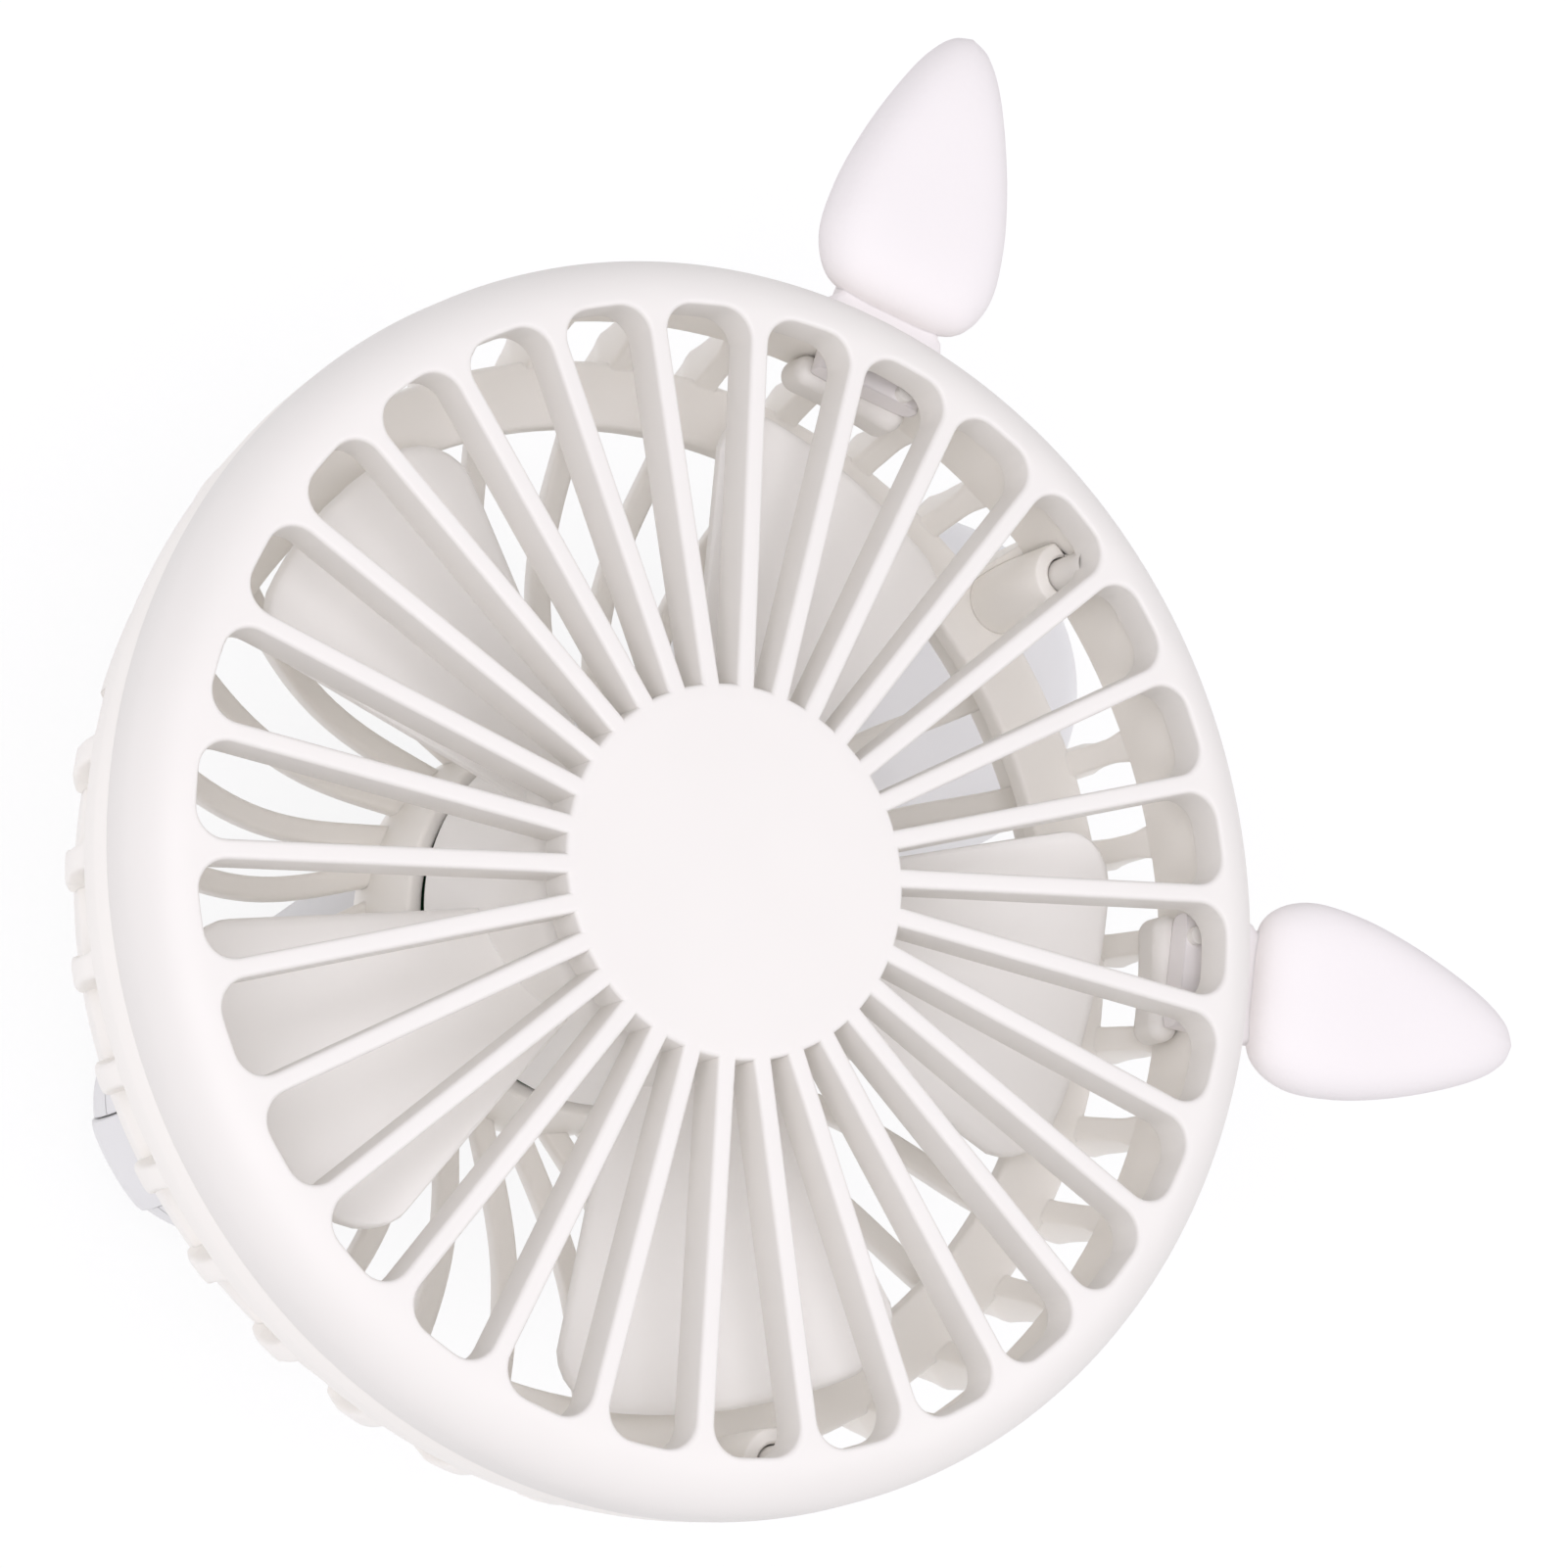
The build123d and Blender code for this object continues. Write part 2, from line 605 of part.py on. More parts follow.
# Impeller: a hub with a bore for the rotor's yoke and a boss on the shaft, carrying the blades
hub_ceiling = HUB_FRONT - HUB_WALL
with BuildPart() as impeller:
    with BuildSketch(Plane.XZ):
        with BuildLine():
            corner = (HUB_FRONT_RADIUS - HUB_ROUND, HUB_FRONT - HUB_ROUND)
            hub_diagonal = HUB_ROUND * math.sqrt(0.5)
            Line((0, HUB_FRONT), (corner[0], HUB_FRONT))
            ThreePointArc(
                (corner[0], HUB_FRONT),
                (corner[0] + hub_diagonal, corner[1] + hub_diagonal),
                (HUB_FRONT_RADIUS, corner[1]),
            )
            Polyline(
                (HUB_FRONT_RADIUS, corner[1]),
                (HUB_REAR_RADIUS, HUB_REAR),
                (YOKE_RADIUS, HUB_REAR),
                (YOKE_RADIUS, YOKE_TOP),
                (HUB_CAVITY, YOKE_TOP),
                (HUB_CAVITY, hub_ceiling),
                (HUB_BOSS, hub_ceiling),
                (HUB_BOSS, YOKE_TOP),
                (SHAFT_RADIUS, YOKE_TOP),
                (SHAFT_RADIUS, shaft_top),
                (0, shaft_top),
                (0, HUB_FRONT),
            )
        make_face()
    revolve(axis=Axis.Z)
    with PolarLocations(0, BLADE_COUNT, start_angle=BLADE_START):
        add(one_blade.part)
impeller.part.label = "impeller"
export_step(impeller.part, "parts/impeller.step")


def tube_profile(outer, inner, low, high):
    """Half the section of a plain tube, for a revolve about the axis."""
    with Locations(((outer + inner) / 2, (low + high) / 2)):
        Rectangle(outer - inner, high - low)


# Rotor: a steel yoke pressed in the hub, a magnet ring in it, and the shaft with its clip
yoke_inner = YOKE_RADIUS - YOKE_WALL
with BuildPart() as rotor_yoke:
    with BuildSketch(Plane.XZ):
        tube_profile(YOKE_RADIUS, yoke_inner, YOKE_BOTTOM, YOKE_TOP)
        tube_profile(YOKE_RADIUS, SHAFT_RADIUS, YOKE_TOP - YOKE_WALL, YOKE_TOP)
    revolve(axis=Axis.Z)
rotor_yoke.part.label = "rotor_yoke"
export_step(rotor_yoke.part, "parts/rotor_yoke.step")

with BuildPart() as magnet_ring:
    with BuildSketch(Plane.XZ):
        tube_profile(yoke_inner, yoke_inner - MAGNET_THICKNESS, MAGNET_LOW, MAGNET_HIGH)
    revolve(axis=Axis.Z)
magnet_ring.part.label = "magnet_ring"
export_step(magnet_ring.part, "parts/magnet_ring.step")

clip_low = SHAFT_BOTTOM + CLIP_RING_OFFSET
clip_high = clip_low + CLIP_RING_THICKNESS
groove_radius = SHAFT_RADIUS * 0.7
with BuildPart() as motor_shaft:
    with BuildSketch(Plane.XZ):
        Polygon(
            (0, SHAFT_BOTTOM),
            (SHAFT_RADIUS, SHAFT_BOTTOM),
            (SHAFT_RADIUS, clip_low),
            (groove_radius, clip_low),
            (groove_radius, clip_high),
            (SHAFT_RADIUS, clip_high),
            (SHAFT_RADIUS, shaft_top),
            (0, shaft_top),
            align=None,
        )
    revolve(axis=Axis.Z)
motor_shaft.part.label = "motor_shaft"
export_step(motor_shaft.part, "parts/motor_shaft.step")

with BuildPart() as shaft_clip:
    with BuildSketch(Plane.XY.offset(clip_low)):
        Circle(2 * SHAFT_RADIUS)
        Circle(groove_radius, mode=Mode.SUBTRACT)
        with Locations((2 * SHAFT_RADIUS, 0)):
            Rectangle(4 * SHAFT_RADIUS, groove_radius, mode=Mode.SUBTRACT)
    extrude(amount=CLIP_RING_THICKNESS)
shaft_clip.part.label = "shaft_clip"
export_step(shaft_clip.part, "parts/shaft_clip.step")

# Stator side: a flanged tube on the cup's floor with two sleeve bearings, core, coils and board
bearing_starts = (clip_high + BEARING_GAP, TUBE_TOP - BEARING_LENGTH)
with BuildPart() as bearing_tube:
    with BuildSketch(Plane.XZ):
        tube_profile(TUBE_RADIUS, TUBE_BORE, cup_floor_top, TUBE_TOP)
        tube_profile(TUBE_FLANGE, TUBE_BORE, cup_floor_top, cup_floor_top + FLANGE_THICKNESS)
        tube_profile(TUBE_RADIUS + TUBE_SHOULDER, TUBE_BORE, cup_floor_top, STATOR_LOW)
    revolve(axis=Axis.Z)
bearing_tube.part.label = "bearing_tube"
export_step(bearing_tube.part, "parts/bearing_tube.step")

with BuildPart() as bearings:
    with BuildSketch(Plane.XZ):
        for start in bearing_starts:
            tube_profile(TUBE_BORE, SHAFT_RADIUS + SHAFT_PLAY, start, start + BEARING_LENGTH)
    revolve(axis=Axis.Z)
bearings.part.label = "bearings"
export_step(bearings.part, "parts/bearings.step")

tooth_length = STATOR_RADIUS - TOOTH_SHOE / 2
with BuildPart() as stator_core:
    with BuildSketch(Plane.XY.offset(STATOR_LOW)):
        Circle(STATOR_RADIUS)
        Circle(STATOR_RADIUS - TOOTH_SHOE, mode=Mode.SUBTRACT)
        with PolarLocations(STATOR_RADIUS, TOOTH_COUNT, start_angle=180 / TOOTH_COUNT):
            Rectangle(4 * TOOTH_SHOE, TOOTH_SHOE, mode=Mode.SUBTRACT)
        with PolarLocations(tooth_length / 2, TOOTH_COUNT):
            Rectangle(tooth_length, TOOTH_WIDTH)
        Circle(STATOR_CORE_RADIUS)
        Circle(TUBE_RADIUS, mode=Mode.SUBTRACT)
    extrude(amount=STATOR_HIGH - STATOR_LOW)
stator_core.part.label = "stator_core"
export_step(stator_core.part, "parts/stator_core.step")

coil_outer = STATOR_RADIUS - TOOTH_SHOE - COIL_GAP
coil_length = coil_outer - COIL_INNER
stator_height = STATOR_HIGH - STATOR_LOW
with BuildPart() as stator_coils:
    with PolarLocations((COIL_INNER + coil_outer) / 2, TOOTH_COUNT):
        with Locations((0, 0, (STATOR_LOW + STATOR_HIGH) / 2)):
            Box(coil_length, TOOTH_WIDTH + 2 * COIL_BUILD, stator_height + 2 * COIL_BUILD)
            Box(coil_length, TOOTH_WIDTH, stator_height, mode=Mode.SUBTRACT)
stator_coils.part.label = "stator_coils"
export_step(stator_coils.part, "parts/stator_coils.step")

with BuildPart() as motor_board:
    with BuildSketch(Plane.XY.offset(cup_floor_top + BOARD_POST_HEIGHT)):
        Circle(BOARD_RADIUS)
        Circle(BOARD_HOLE, mode=Mode.SUBTRACT)
    extrude(amount=BOARD_THICKNESS)
motor_board.part.label = "motor_board"
export_step(motor_board.part, "parts/motor_board.step")

# Hinge pin and the washers between the lug and the fork
with BuildPart() as hinge_pin:
    with Locations((0, PIVOT_Y, PIVOT_Z)):
        Cylinder(PIN_RADIUS, 2 * PIN_HALF_LENGTH, rotation=(0, 90, 0))
hinge_pin.part.label = "hinge_pin"
export_step(hinge_pin.part, "parts/hinge_pin.step")

with BuildPart() as hinge_washers:
    for start in (LUG_HALF_WIDTH, -LUG_HALF_WIDTH - WASHER_THICKNESS):
        with BuildSketch(Plane.YZ.offset(start)):
            with Locations((PIVOT_Y, PIVOT_Z)):
                Circle(WASHER_RADIUS)
                Circle(PIN_RADIUS, mode=Mode.SUBTRACT)
        extrude(amount=WASHER_THICKNESS)
hinge_washers.part.label = "hinge_washers"
export_step(hinge_washers.part, "parts/hinge_washers.step")

# Handle outline, cavity and body, shared by the two shells
with BuildSketch() as handle_outline:
    with Locations((0, PIVOT_Y)):
        Circle(KNUCKLE_RADIUS)
    with Locations((0, END_Y)):
        Circle(END_RADIUS)
    make_hull()

with BuildPart() as handle_cavity:
    with BuildSketch(Plane.XY.offset(handle_floor)) as cavity_plan:
        add(handle_outline.sketch)
        offset(amount=-HANDLE_WALL, mode=Mode.REPLACE)
        with Locations((0, CAVITY_LOW_Y)):
            Rectangle(4 * KNUCKLE_RADIUS, 4 * KNUCKLE_RADIUS, align=(Align.CENTER, Align.MAX), mode=Mode.SUBTRACT)
        low_corners = cavity_plan.vertices().sort_by(Axis.Y)[:2]
        fillet(low_corners, CAVITY_CORNER)
    extrude(amount=handle_ceiling - handle_floor)
    cavity_faces = handle_cavity.faces().sort_by(Axis.Z)
    fillet(cavity_faces[0].edges() + cavity_faces[-1].edges(), HANDLE_EDGE - HANDLE_WALL)

with BuildPart() as handle_body:
    with BuildSketch():
        add(handle_outline.sketch)
    extrude(amount=HANDLE_THICKNESS)
    body_faces = handle_body.faces().sort_by(Axis.Z)
    fillet(body_faces[0].edges() + body_faces[-1].edges(), HANDLE_EDGE)
    with BuildSketch(Plane.YZ.offset(-2 * KNUCKLE_RADIUS)):
        with Locations((PIVOT_Y - 1, PIVOT_Z)):
            Rectangle(
                2 * KNUCKLE_RADIUS,
                4 * KNUCKLE_RADIUS,
                align=(Align.MAX, Align.CENTER),
            )
        with Locations((PIVOT_Y, PIVOT_Z)):
            Circle(KNUCKLE_SWEEP, mode=Mode.SUBTRACT)
    extrude(amount=4 * KNUCKLE_RADIUS, mode=Mode.SUBTRACT)
    fork_end = PIVOT_Y + LUG_RADIUS + FORK_CLEARANCE
    with Locations((0, fork_end, PIVOT_Z)):
        Box(
            2 * FORK_HALF_WIDTH,
            4 * KNUCKLE_RADIUS,
            4 * KNUCKLE_RADIUS,
            align=(Align.CENTER, Align.MAX, Align.CENTER),
            mode=Mode.SUBTRACT,
        )
    add(handle_cavity.part, mode=Mode.SUBTRACT)
    with Locations((0, PIVOT_Y, PIVOT_Z)):
        bore_length = 2 * (PIN_HALF_LENGTH + PIN_END_PLAY)
        Cylinder(PIN_RADIUS + PIN_PLAY, bore_length, rotation=(0, 90, 0), mode=Mode.SUBTRACT)

# Front shell: the half towards the head, with posts for the screws
with BuildPart() as handle_front_shell:
    add(handle_body.part)
    split(bisect_by=Plane.XY.offset(PIVOT_Z), keep=Keep.TOP)
    with BuildSketch(Plane.XY.offset(PIVOT_Z)):
        with Locations(*HANDLE_SCREWS):
            Circle(HANDLE_BOSS)
    extrude(amount=handle_ceiling - PIVOT_Z + ROOT)
    with BuildSketch(Plane.XY.offset(PIVOT_Z)):
        with Locations(*HANDLE_SCREWS):
            Circle(HANDLE_SCREW_SHANK)
    extrude(amount=HANDLE_SCREW_REACH + 2 * ROOT, mode=Mode.SUBTRACT)
handle_front_shell.part.label = "handle_front_shell"
export_step(handle_front_shell.part, "parts/handle_front_shell.step")

# Rear shell: bosses for screws and board, holes for the button, the light and the socket
screw_seat = handle_floor + HANDLE_SCREW_FLOOR
socket_z = PCB_Z + PCB_THICKNESS + SOCKET_HEIGHT / 2
with BuildPart() as handle_rear_shell:
    add(handle_body.part)
    split(bisect_by=Plane.XY.offset(PIVOT_Z), keep=Keep.BOTTOM)
    with BuildSketch(Plane.XY.offset(handle_floor - ROOT)):
        with Locations(*HANDLE_SCREWS):
            Circle(HANDLE_BOSS)
    extrude(amount=PIVOT_Z - handle_floor + ROOT)
    with BuildSketch(Plane.XY.offset(handle_floor - ROOT)):
        with Locations(*PCB_POSTS):
            Circle(PCB_POST_RADIUS)
    extrude(amount=PCB_Z - handle_floor + ROOT)
    with BuildSketch():
        with Locations(*HANDLE_SCREWS):
            Circle(HANDLE_SCREW_SHANK + SCREW_PLAY)
        with Locations((0, LED_Y)):
            Circle(LED_RADIUS)
        with Locations((0, BUTTON_Y)):
            Circle(BUTTON_RADIUS + BUTTON_GAP)
    extrude(amount=PIVOT_Z, mode=Mode.SUBTRACT)
    with BuildSketch():
        with Locations(*HANDLE_SCREWS):
            Circle(HANDLE_SCREW_HEAD + SCREW_PLAY)
    extrude(amount=screw_seat, mode=Mode.SUBTRACT)
    with BuildSketch(Plane.XZ.offset(-handle_top - 1)):
        with Locations((0, socket_z)):
            SlotOverall(SOCKET_WIDTH + SOCKET_PLAY, SOCKET_HEIGHT + SOCKET_PLAY)
    extrude(amount=HANDLE_WALL + 3, mode=Mode.SUBTRACT)
handle_rear_shell.part.label = "handle_rear_shell"
export_step(handle_rear_shell.part, "parts/handle_rear_shell.step")

with BuildPart() as handle_screws:
    with BuildSketch(Plane.XY.offset(screw_seat)):
        with Locations(*HANDLE_SCREWS):
            Circle(HANDLE_SCREW_SHANK)
    extrude(amount=PIVOT_Z + HANDLE_SCREW_REACH - screw_seat)
    with BuildSketch(Plane.XY.offset(screw_seat)):
        with Locations(*HANDLE_SCREWS):
            Circle(HANDLE_SCREW_HEAD)
    extrude(amount=-HANDLE_SCREW_HEAD_HEIGHT)
handle_screws.part.label = "handle_screws"
export_step(handle_screws.part, "parts/handle_screws.step")

# Pouch cell under the front shell's ceiling, and its two tabs down to the board
cell_bottom = handle_ceiling - CELL_THICKNESS
with BuildPart() as battery_cell:
    with BuildSketch(Plane.XY.offset(cell_bottom)):
        with Locations((0, (CELL_LOW_Y + CELL_HIGH_Y) / 2)):
            RectangleRounded(CELL_WIDTH, CELL_HIGH_Y - CELL_LOW_Y, CELL_CORNER)
    extrude(amount=CELL_THICKNESS)
    long_edges = battery_cell.edges().filter_by(Axis.Y)
    fillet(long_edges, CELL_ROUND)
battery_cell.part.label = "battery_cell"
export_step(battery_cell.part, "parts/battery_cell.step")

pcb_top = PCB_Z + PCB_THICKNESS
tab_top = handle_ceiling - CELL_THICKNESS / 2
tab_end = CELL_HIGH_Y + TAB_REACH
with BuildPart() as battery_tabs:
    for side in (-1, 1):
        with BuildSketch(Plane.YZ.offset(side * TAB_X - TAB_WIDTH / 2)):
            Polygon(
                (CELL_HIGH_Y, tab_top),
                (tab_end, tab_top),
                (tab_end, pcb_top),
                (tab_end - TAB_THICKNESS, pcb_top),
                (tab_end - TAB_THICKNESS, tab_top - TAB_THICKNESS),
                (CELL_HIGH_Y, tab_top - TAB_THICKNESS),
                align=None,
            )
        extrude(amount=TAB_WIDTH)
battery_tabs.part.label = "battery_tabs"
export_step(battery_tabs.part, "parts/battery_tabs.step")

with BuildPart() as circuit_board:
    with BuildSketch(Plane.XY.offset(PCB_Z)):
        with Locations((0, (PCB_LOW_Y + PCB_HIGH_Y) / 2)):
            Rectangle(2 * PCB_HALF_WIDTH, PCB_HIGH_Y - PCB_LOW_Y)
        with Locations((0, (PCB_HIGH_Y + PCB_TONGUE_END) / 2)):
            Rectangle(PCB_TONGUE_WIDTH, PCB_TONGUE_END - PCB_HIGH_Y)
    extrude(amount=PCB_THICKNESS)
circuit_board.part.label = "circuit_board"
export_step(circuit_board.part, "parts/circuit_board.step")

# Charging socket: a flat steel sleeve with a tongue, open at the handle's free end
socket_mouth = handle_top - SOCKET_SINK
with BuildPart() as usb_socket:
    with BuildSketch(Plane.XZ.offset(-socket_mouth)):
        with Locations((0, socket_z)):
            SlotOverall(SOCKET_WIDTH, SOCKET_HEIGHT)
    extrude(amount=SOCKET_DEPTH)
    with BuildSketch(Plane.XZ.offset(-socket_mouth)):
        with Locations((0, socket_z)):
            SlotOverall(SOCKET_WIDTH - 2 * SOCKET_SHEET, SOCKET_HEIGHT - 2 * SOCKET_SHEET)
    extrude(amount=SOCKET_DEPTH - SOCKET_BACK, mode=Mode.SUBTRACT)
    with BuildSketch(Plane.XZ.offset(TONGUE_SINK - socket_mouth)):
        with Locations((0, socket_z)):
            Rectangle(*SOCKET_TONGUE)
    extrude(amount=SOCKET_DEPTH - SOCKET_BACK)
usb_socket.part.label = "usb_socket"
export_step(usb_socket.part, "parts/usb_socket.step")

# Switch under the board, the button that presses it and the light window
with BuildPart() as tact_switch:
    with BuildSketch(Plane.XY.offset(PCB_Z)):
        with Locations((0, BUTTON_Y)):
            Rectangle(SWITCH_SIZE, SWITCH_SIZE)
    extrude(amount=-SWITCH_HEIGHT)
    with BuildSketch(Plane.XY.offset(PCB_Z)):
        with Locations((0, BUTTON_Y)):
            Circle(PLUNGER_RADIUS)
    extrude(amount=-PLUNGER_REACH)
tact_switch.part.label = "tact_switch"
export_step(tact_switch.part, "parts/tact_switch.step")

flange_low = handle_floor + FLANGE_GAP
with BuildPart() as power_button:
    with BuildSketch(Plane.XY.offset(BUTTON_SINK)):
        with Locations((0, BUTTON_Y)):
            Circle(BUTTON_RADIUS)
    extrude(amount=flange_low - BUTTON_SINK)
    face_edge = power_button.edges().sort_by(Axis.Z)[0]
    fillet(face_edge, BUTTON_ROUND)
    with BuildSketch(Plane.XY.offset(flange_low)):
        with Locations((0, BUTTON_Y)):
            Circle(BUTTON_FLANGE)
    extrude(amount=FLANGE_DEPTH)
power_button.part.label = "power_button"
export_step(power_button.part, "parts/power_button.step")

with BuildPart() as led_window:
    with BuildSketch(Plane.XY.offset(LED_SINK)):
        with Locations((0, LED_Y)):
            Circle(LED_RADIUS)
    extrude(amount=PCB_Z - LED_SINK)
led_window.part.label = "led_window"
export_step(led_window.part, "parts/led_window.step")
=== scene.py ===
import json
import math

import bmesh
import bpy
from mathutils import Matrix, Vector


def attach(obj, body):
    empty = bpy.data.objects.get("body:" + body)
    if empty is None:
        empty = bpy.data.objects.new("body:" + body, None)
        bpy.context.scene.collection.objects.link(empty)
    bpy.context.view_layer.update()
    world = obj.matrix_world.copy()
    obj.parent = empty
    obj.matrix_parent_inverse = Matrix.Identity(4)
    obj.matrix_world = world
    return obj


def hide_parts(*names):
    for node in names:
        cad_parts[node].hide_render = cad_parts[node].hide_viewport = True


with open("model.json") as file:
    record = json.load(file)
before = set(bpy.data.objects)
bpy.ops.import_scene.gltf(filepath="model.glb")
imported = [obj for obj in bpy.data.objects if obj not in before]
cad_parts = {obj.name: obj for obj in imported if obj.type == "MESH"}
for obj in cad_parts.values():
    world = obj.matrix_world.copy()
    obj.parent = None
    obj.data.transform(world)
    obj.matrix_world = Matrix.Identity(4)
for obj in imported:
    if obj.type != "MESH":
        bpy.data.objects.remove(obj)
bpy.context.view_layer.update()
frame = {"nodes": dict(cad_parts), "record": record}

MM = 0.001

# Radius of a point on the axis, in millimetres: so small that its ring is welded together
AXIS = 0.001

# Front cover, in millimetres in the row frame
CAP_HEIGHT = 66.5
RIM_RADIUS = 52.7
RIM_ROUND = 5.0
RIM_ROUND_CENTER = (47.6, CAP_HEIGHT - 5.6)
PARTING = 58.5
PLATE_DEPTH = 4.3
CAP_RADIUS = 15.7
CAP_RINGS = (CAP_RADIUS - 1.4, CAP_RADIUS * 0.6, CAP_RADIUS * 0.3, AXIS)
CONE_DROP = 0.616
SLOT_RADIUS = 48.0
SLOT_CORNER = 2.5
RIB_COUNT = 30
RIB_HALF = 0.825
FRONT_WALL_RADIUS = 50.5
FRONT_RING_MARGIN = 1.3
EDGE_ROUND = 0.42
UNDER_ROUND = 0.3
RIM_EASE = ((0.0, 0.35), (0.06, 0.14), (0.3, 0.0))
SCREW_ANGLES = (97.0, 217.0, 337.0)
SCREW_CIRCLE = 48.2
POST_RADIUS = 1.5
POST_HOLE = 0.9
POST_EASE = 0.15
POST_BOTTOM = 51.2
POST_SINK = 1

# Ears
EAR_ANGLES = {"right": 53.0, "left": 127.0}
EAR_MIDDLE = 59.5
EAR_HALF_THICKNESS = 3.5
EAR_CENTER = 66.0
EAR_SIDE = (
    (54.7, 0.0), (54.8, 3.6), (55.9, 6.7), (59.3, 8.4), (64.3, 8.25),
    (69.5, 7.1), (74.5, 5.4), (78.6, 3.55), (81.0, 1.75), (81.8, 0.0),
)
EAR_LEAN = {"right": -3.3, "left": 3.3}
EAR_FOOT = 54.0
EAR_FULLNESS = 0.42
TONGUE = (
    (47.6, 1.0), (52.7, 1.0), (53.0, 1.08), (53.7, 1.12),
    (54.4, 1.08), (54.8, 1.0), (57.5, 0.95),
)
TONGUE_HALF_WIDTH = 5.1
TONGUE_HEIGHTS = (57.0, 59.6)
TONGUE_FULLNESS = (0.3, 0.5)

# Rear basket: a profile is turned round the axis, and an ease is the size of its rounded corners
BAND_PROFILE = (
    (49.6, 52.2), (49.6, 60.4), (50.3, 60.4), (50.3, 58.45),
    (52.52, 58.45), (52.45, 55.6), (51.9, 52.2),
)
BAND_EASE = 0.35
RING_PROFILE = (
    (41.84, 46.8), (47.6, 46.8), (48.1, 42.0), (46.7, 37.8),
    (45.0, 37.8), (45.9, 44.5), (41.84, 44.5),
)
RING_EASE = 0.6
CUP_PROFILE = (
    (AXIS, 28.0), (16.3, 28.0), (17.3, 29.0), (16.6, 38.6),
    (15.2, 38.6), (15.9, 29.6), (AXIS, 29.6),
)
CUP_EASE = 0.4
FIN_COUNT = 36
FIN_START = 8.0
FIN_WIDTH = 2.2
FIN_EASE = 0.55
FIN_FLARE = 0.8
FIN_FLARE_TOP = 2.2
FIN_FLARE_RING = (45.2, 2.4)
FIN_TOP = 53.5
FIN_STRAIGHT = 1.3
FIN_ARC = ((51.5, 51.0), (50.8, 46.1), (48.3, 40.4))
FIN_INNER_FOOT = (46.6, 46.0)
FIN_INNER_LEAN = 3.5
FIN_CLEARANCE = 10.0
WEB_HALF_ANGLE = 4.2
WEB_OUTER = ((53.2, 51.0), (50.8, 50.9), (46.2, 50.1), (41.0, 46.6))
WEB_INNER = ((53.2, 50.0), (45.0, 46.5), (41.0, 46.4))
SCREW_SEAT = 46.0
SEAT_STEP = 0.01
WEB_HEIGHTS = (
    53.2, 52.0, 50.8, 48.5, 46.2, SCREW_SEAT,
    SCREW_SEAT - SEAT_STEP, 45.0, 44.0, 43.0, 42.0, 41.0,
)
RECESS_RADIUS = 1.5
BOSS_RADIUS = 3.0
BOSS_HOLE = 1.65
BOSS_OUTER = 49.3
BOSS_TOP = 57.9
BOSS_EASE = 0.4
BOSS_EASE_MIDDLE = 0.3
BOSS_MOUTH = 0.2
SWIRL_COUNT = 30
SWIRL_WIDTH = 2.1
SWIRL_DEPTH = 1.8
SWIRL_EASE = 0.55
SWIRL_INNER = 16.4
SWIRL_OUTER = 46.2
SWIRL_MIDDLE = 31.0
SWIRL_REACH = 10.5
SWIRL_TURN = (6.6, 0.56, -3.77, 1.63)
SWIRL_RISE = (34.31, 3.11, 0.71)
SWIRL_STEP = 0.1

# Hinge lug, with the crown and eased edges of its round end
LUG_HALF_WIDTH = 4.4
LUG_RADIUS = 10.1
LUG_CROWN = 0.4
LUG_EASING = 0.15
STEM_HALF_WIDTH = 7.0
LUG_PIVOT = (-26.2, 11.0)
LUG_SHOULDERS = (
    (-33.2, 33.9), (-16.6, 30.6), (-16.6, 28.8), (-11.0, 28.8),
    (-11.0, 26.0), (-18.2, 23.0), (-19.2, 22.0),
)

# Fan wheel
HUB_PROFILE = ((AXIS, 60.5), (15.6, 60.5), (16.2, 39.8), (14.2, 39.8), (14.2, 52.4), (AXIS, 52.4))
HUB_ROUND = 3.0
BLADE_COUNT = 5
BLADE_START = 49.0
BLADE_HALF_ANGLE = 21.0
BLADE_ROOT = 15.0
BLADE_TIP = 43.2
BLADE_CORNER = 5.0
BLADE_HALF_THICKNESS = 0.75
BLADE_EDGE = 0.8
BLADE_SAG = 0.9
BLADE_ENDS = ((13.2, 53.0, 2.86), (45.2, 52.7, 4.0))
BLADE_CROWDING = (0.75, 1.6)

# Handle
HANDLE_HALF = 11.0
KNUCKLE_RADIUS = 11.0
KNUCKLE_EASE = 10.0
KNUCKLE_REACH = 0.89
END_RADIUS = 16.2
END_EASE = 8.0
END_Y = 57.4
HANDLE_FLAT = 0.02
HANDLE_LIP = 0.12
FORK_HALF_WIDTH = 4.55
FORK_DEPTH = 11.0
FORK_LENGTH = 60
FORK_OVERSHOOT = 5
PIN_BORE = (2.05, 8.6)
BUTTON_Y = 12.0
BUTTON_POCKET = ((AXIS, -1.0), (5.8, -1.0), (5.8, 1.8), (7.3, 1.8), (7.3, 4.6), (AXIS, 4.6))
LED_Y = 27.0
LED_POCKET = ((AXIS, -1.0), (1.31, -1.0), (1.31, 5.3), (AXIS, 5.3))
SCREW_POCKET = ((AXIS, -1.0), (2.1, -1.0), (2.1, 4.0), (AXIS, 4.0))
SCREW_PROFILE = (
    (AXIS, 2.6), (1.5, 2.6), (1.9, 2.9), (1.9, 4.0),
    (0.9, 4.0), (0.9, 17.0), (AXIS, 17.0),
)
CROSS_HALF = (1.1, 0.22)
CROSS_HEIGHTS = (2.0, 3.3)
HANDLE_SCREWS = ((-6.5, -7.5), (6.5, -7.5), (-9.0, 63.5), (9.0, 63.5))
SOCKET_HALF = (4.65, 1.8)
SOCKET_Z = 8.0
SOCKET_DEPTHS = (64.2, 75.0)

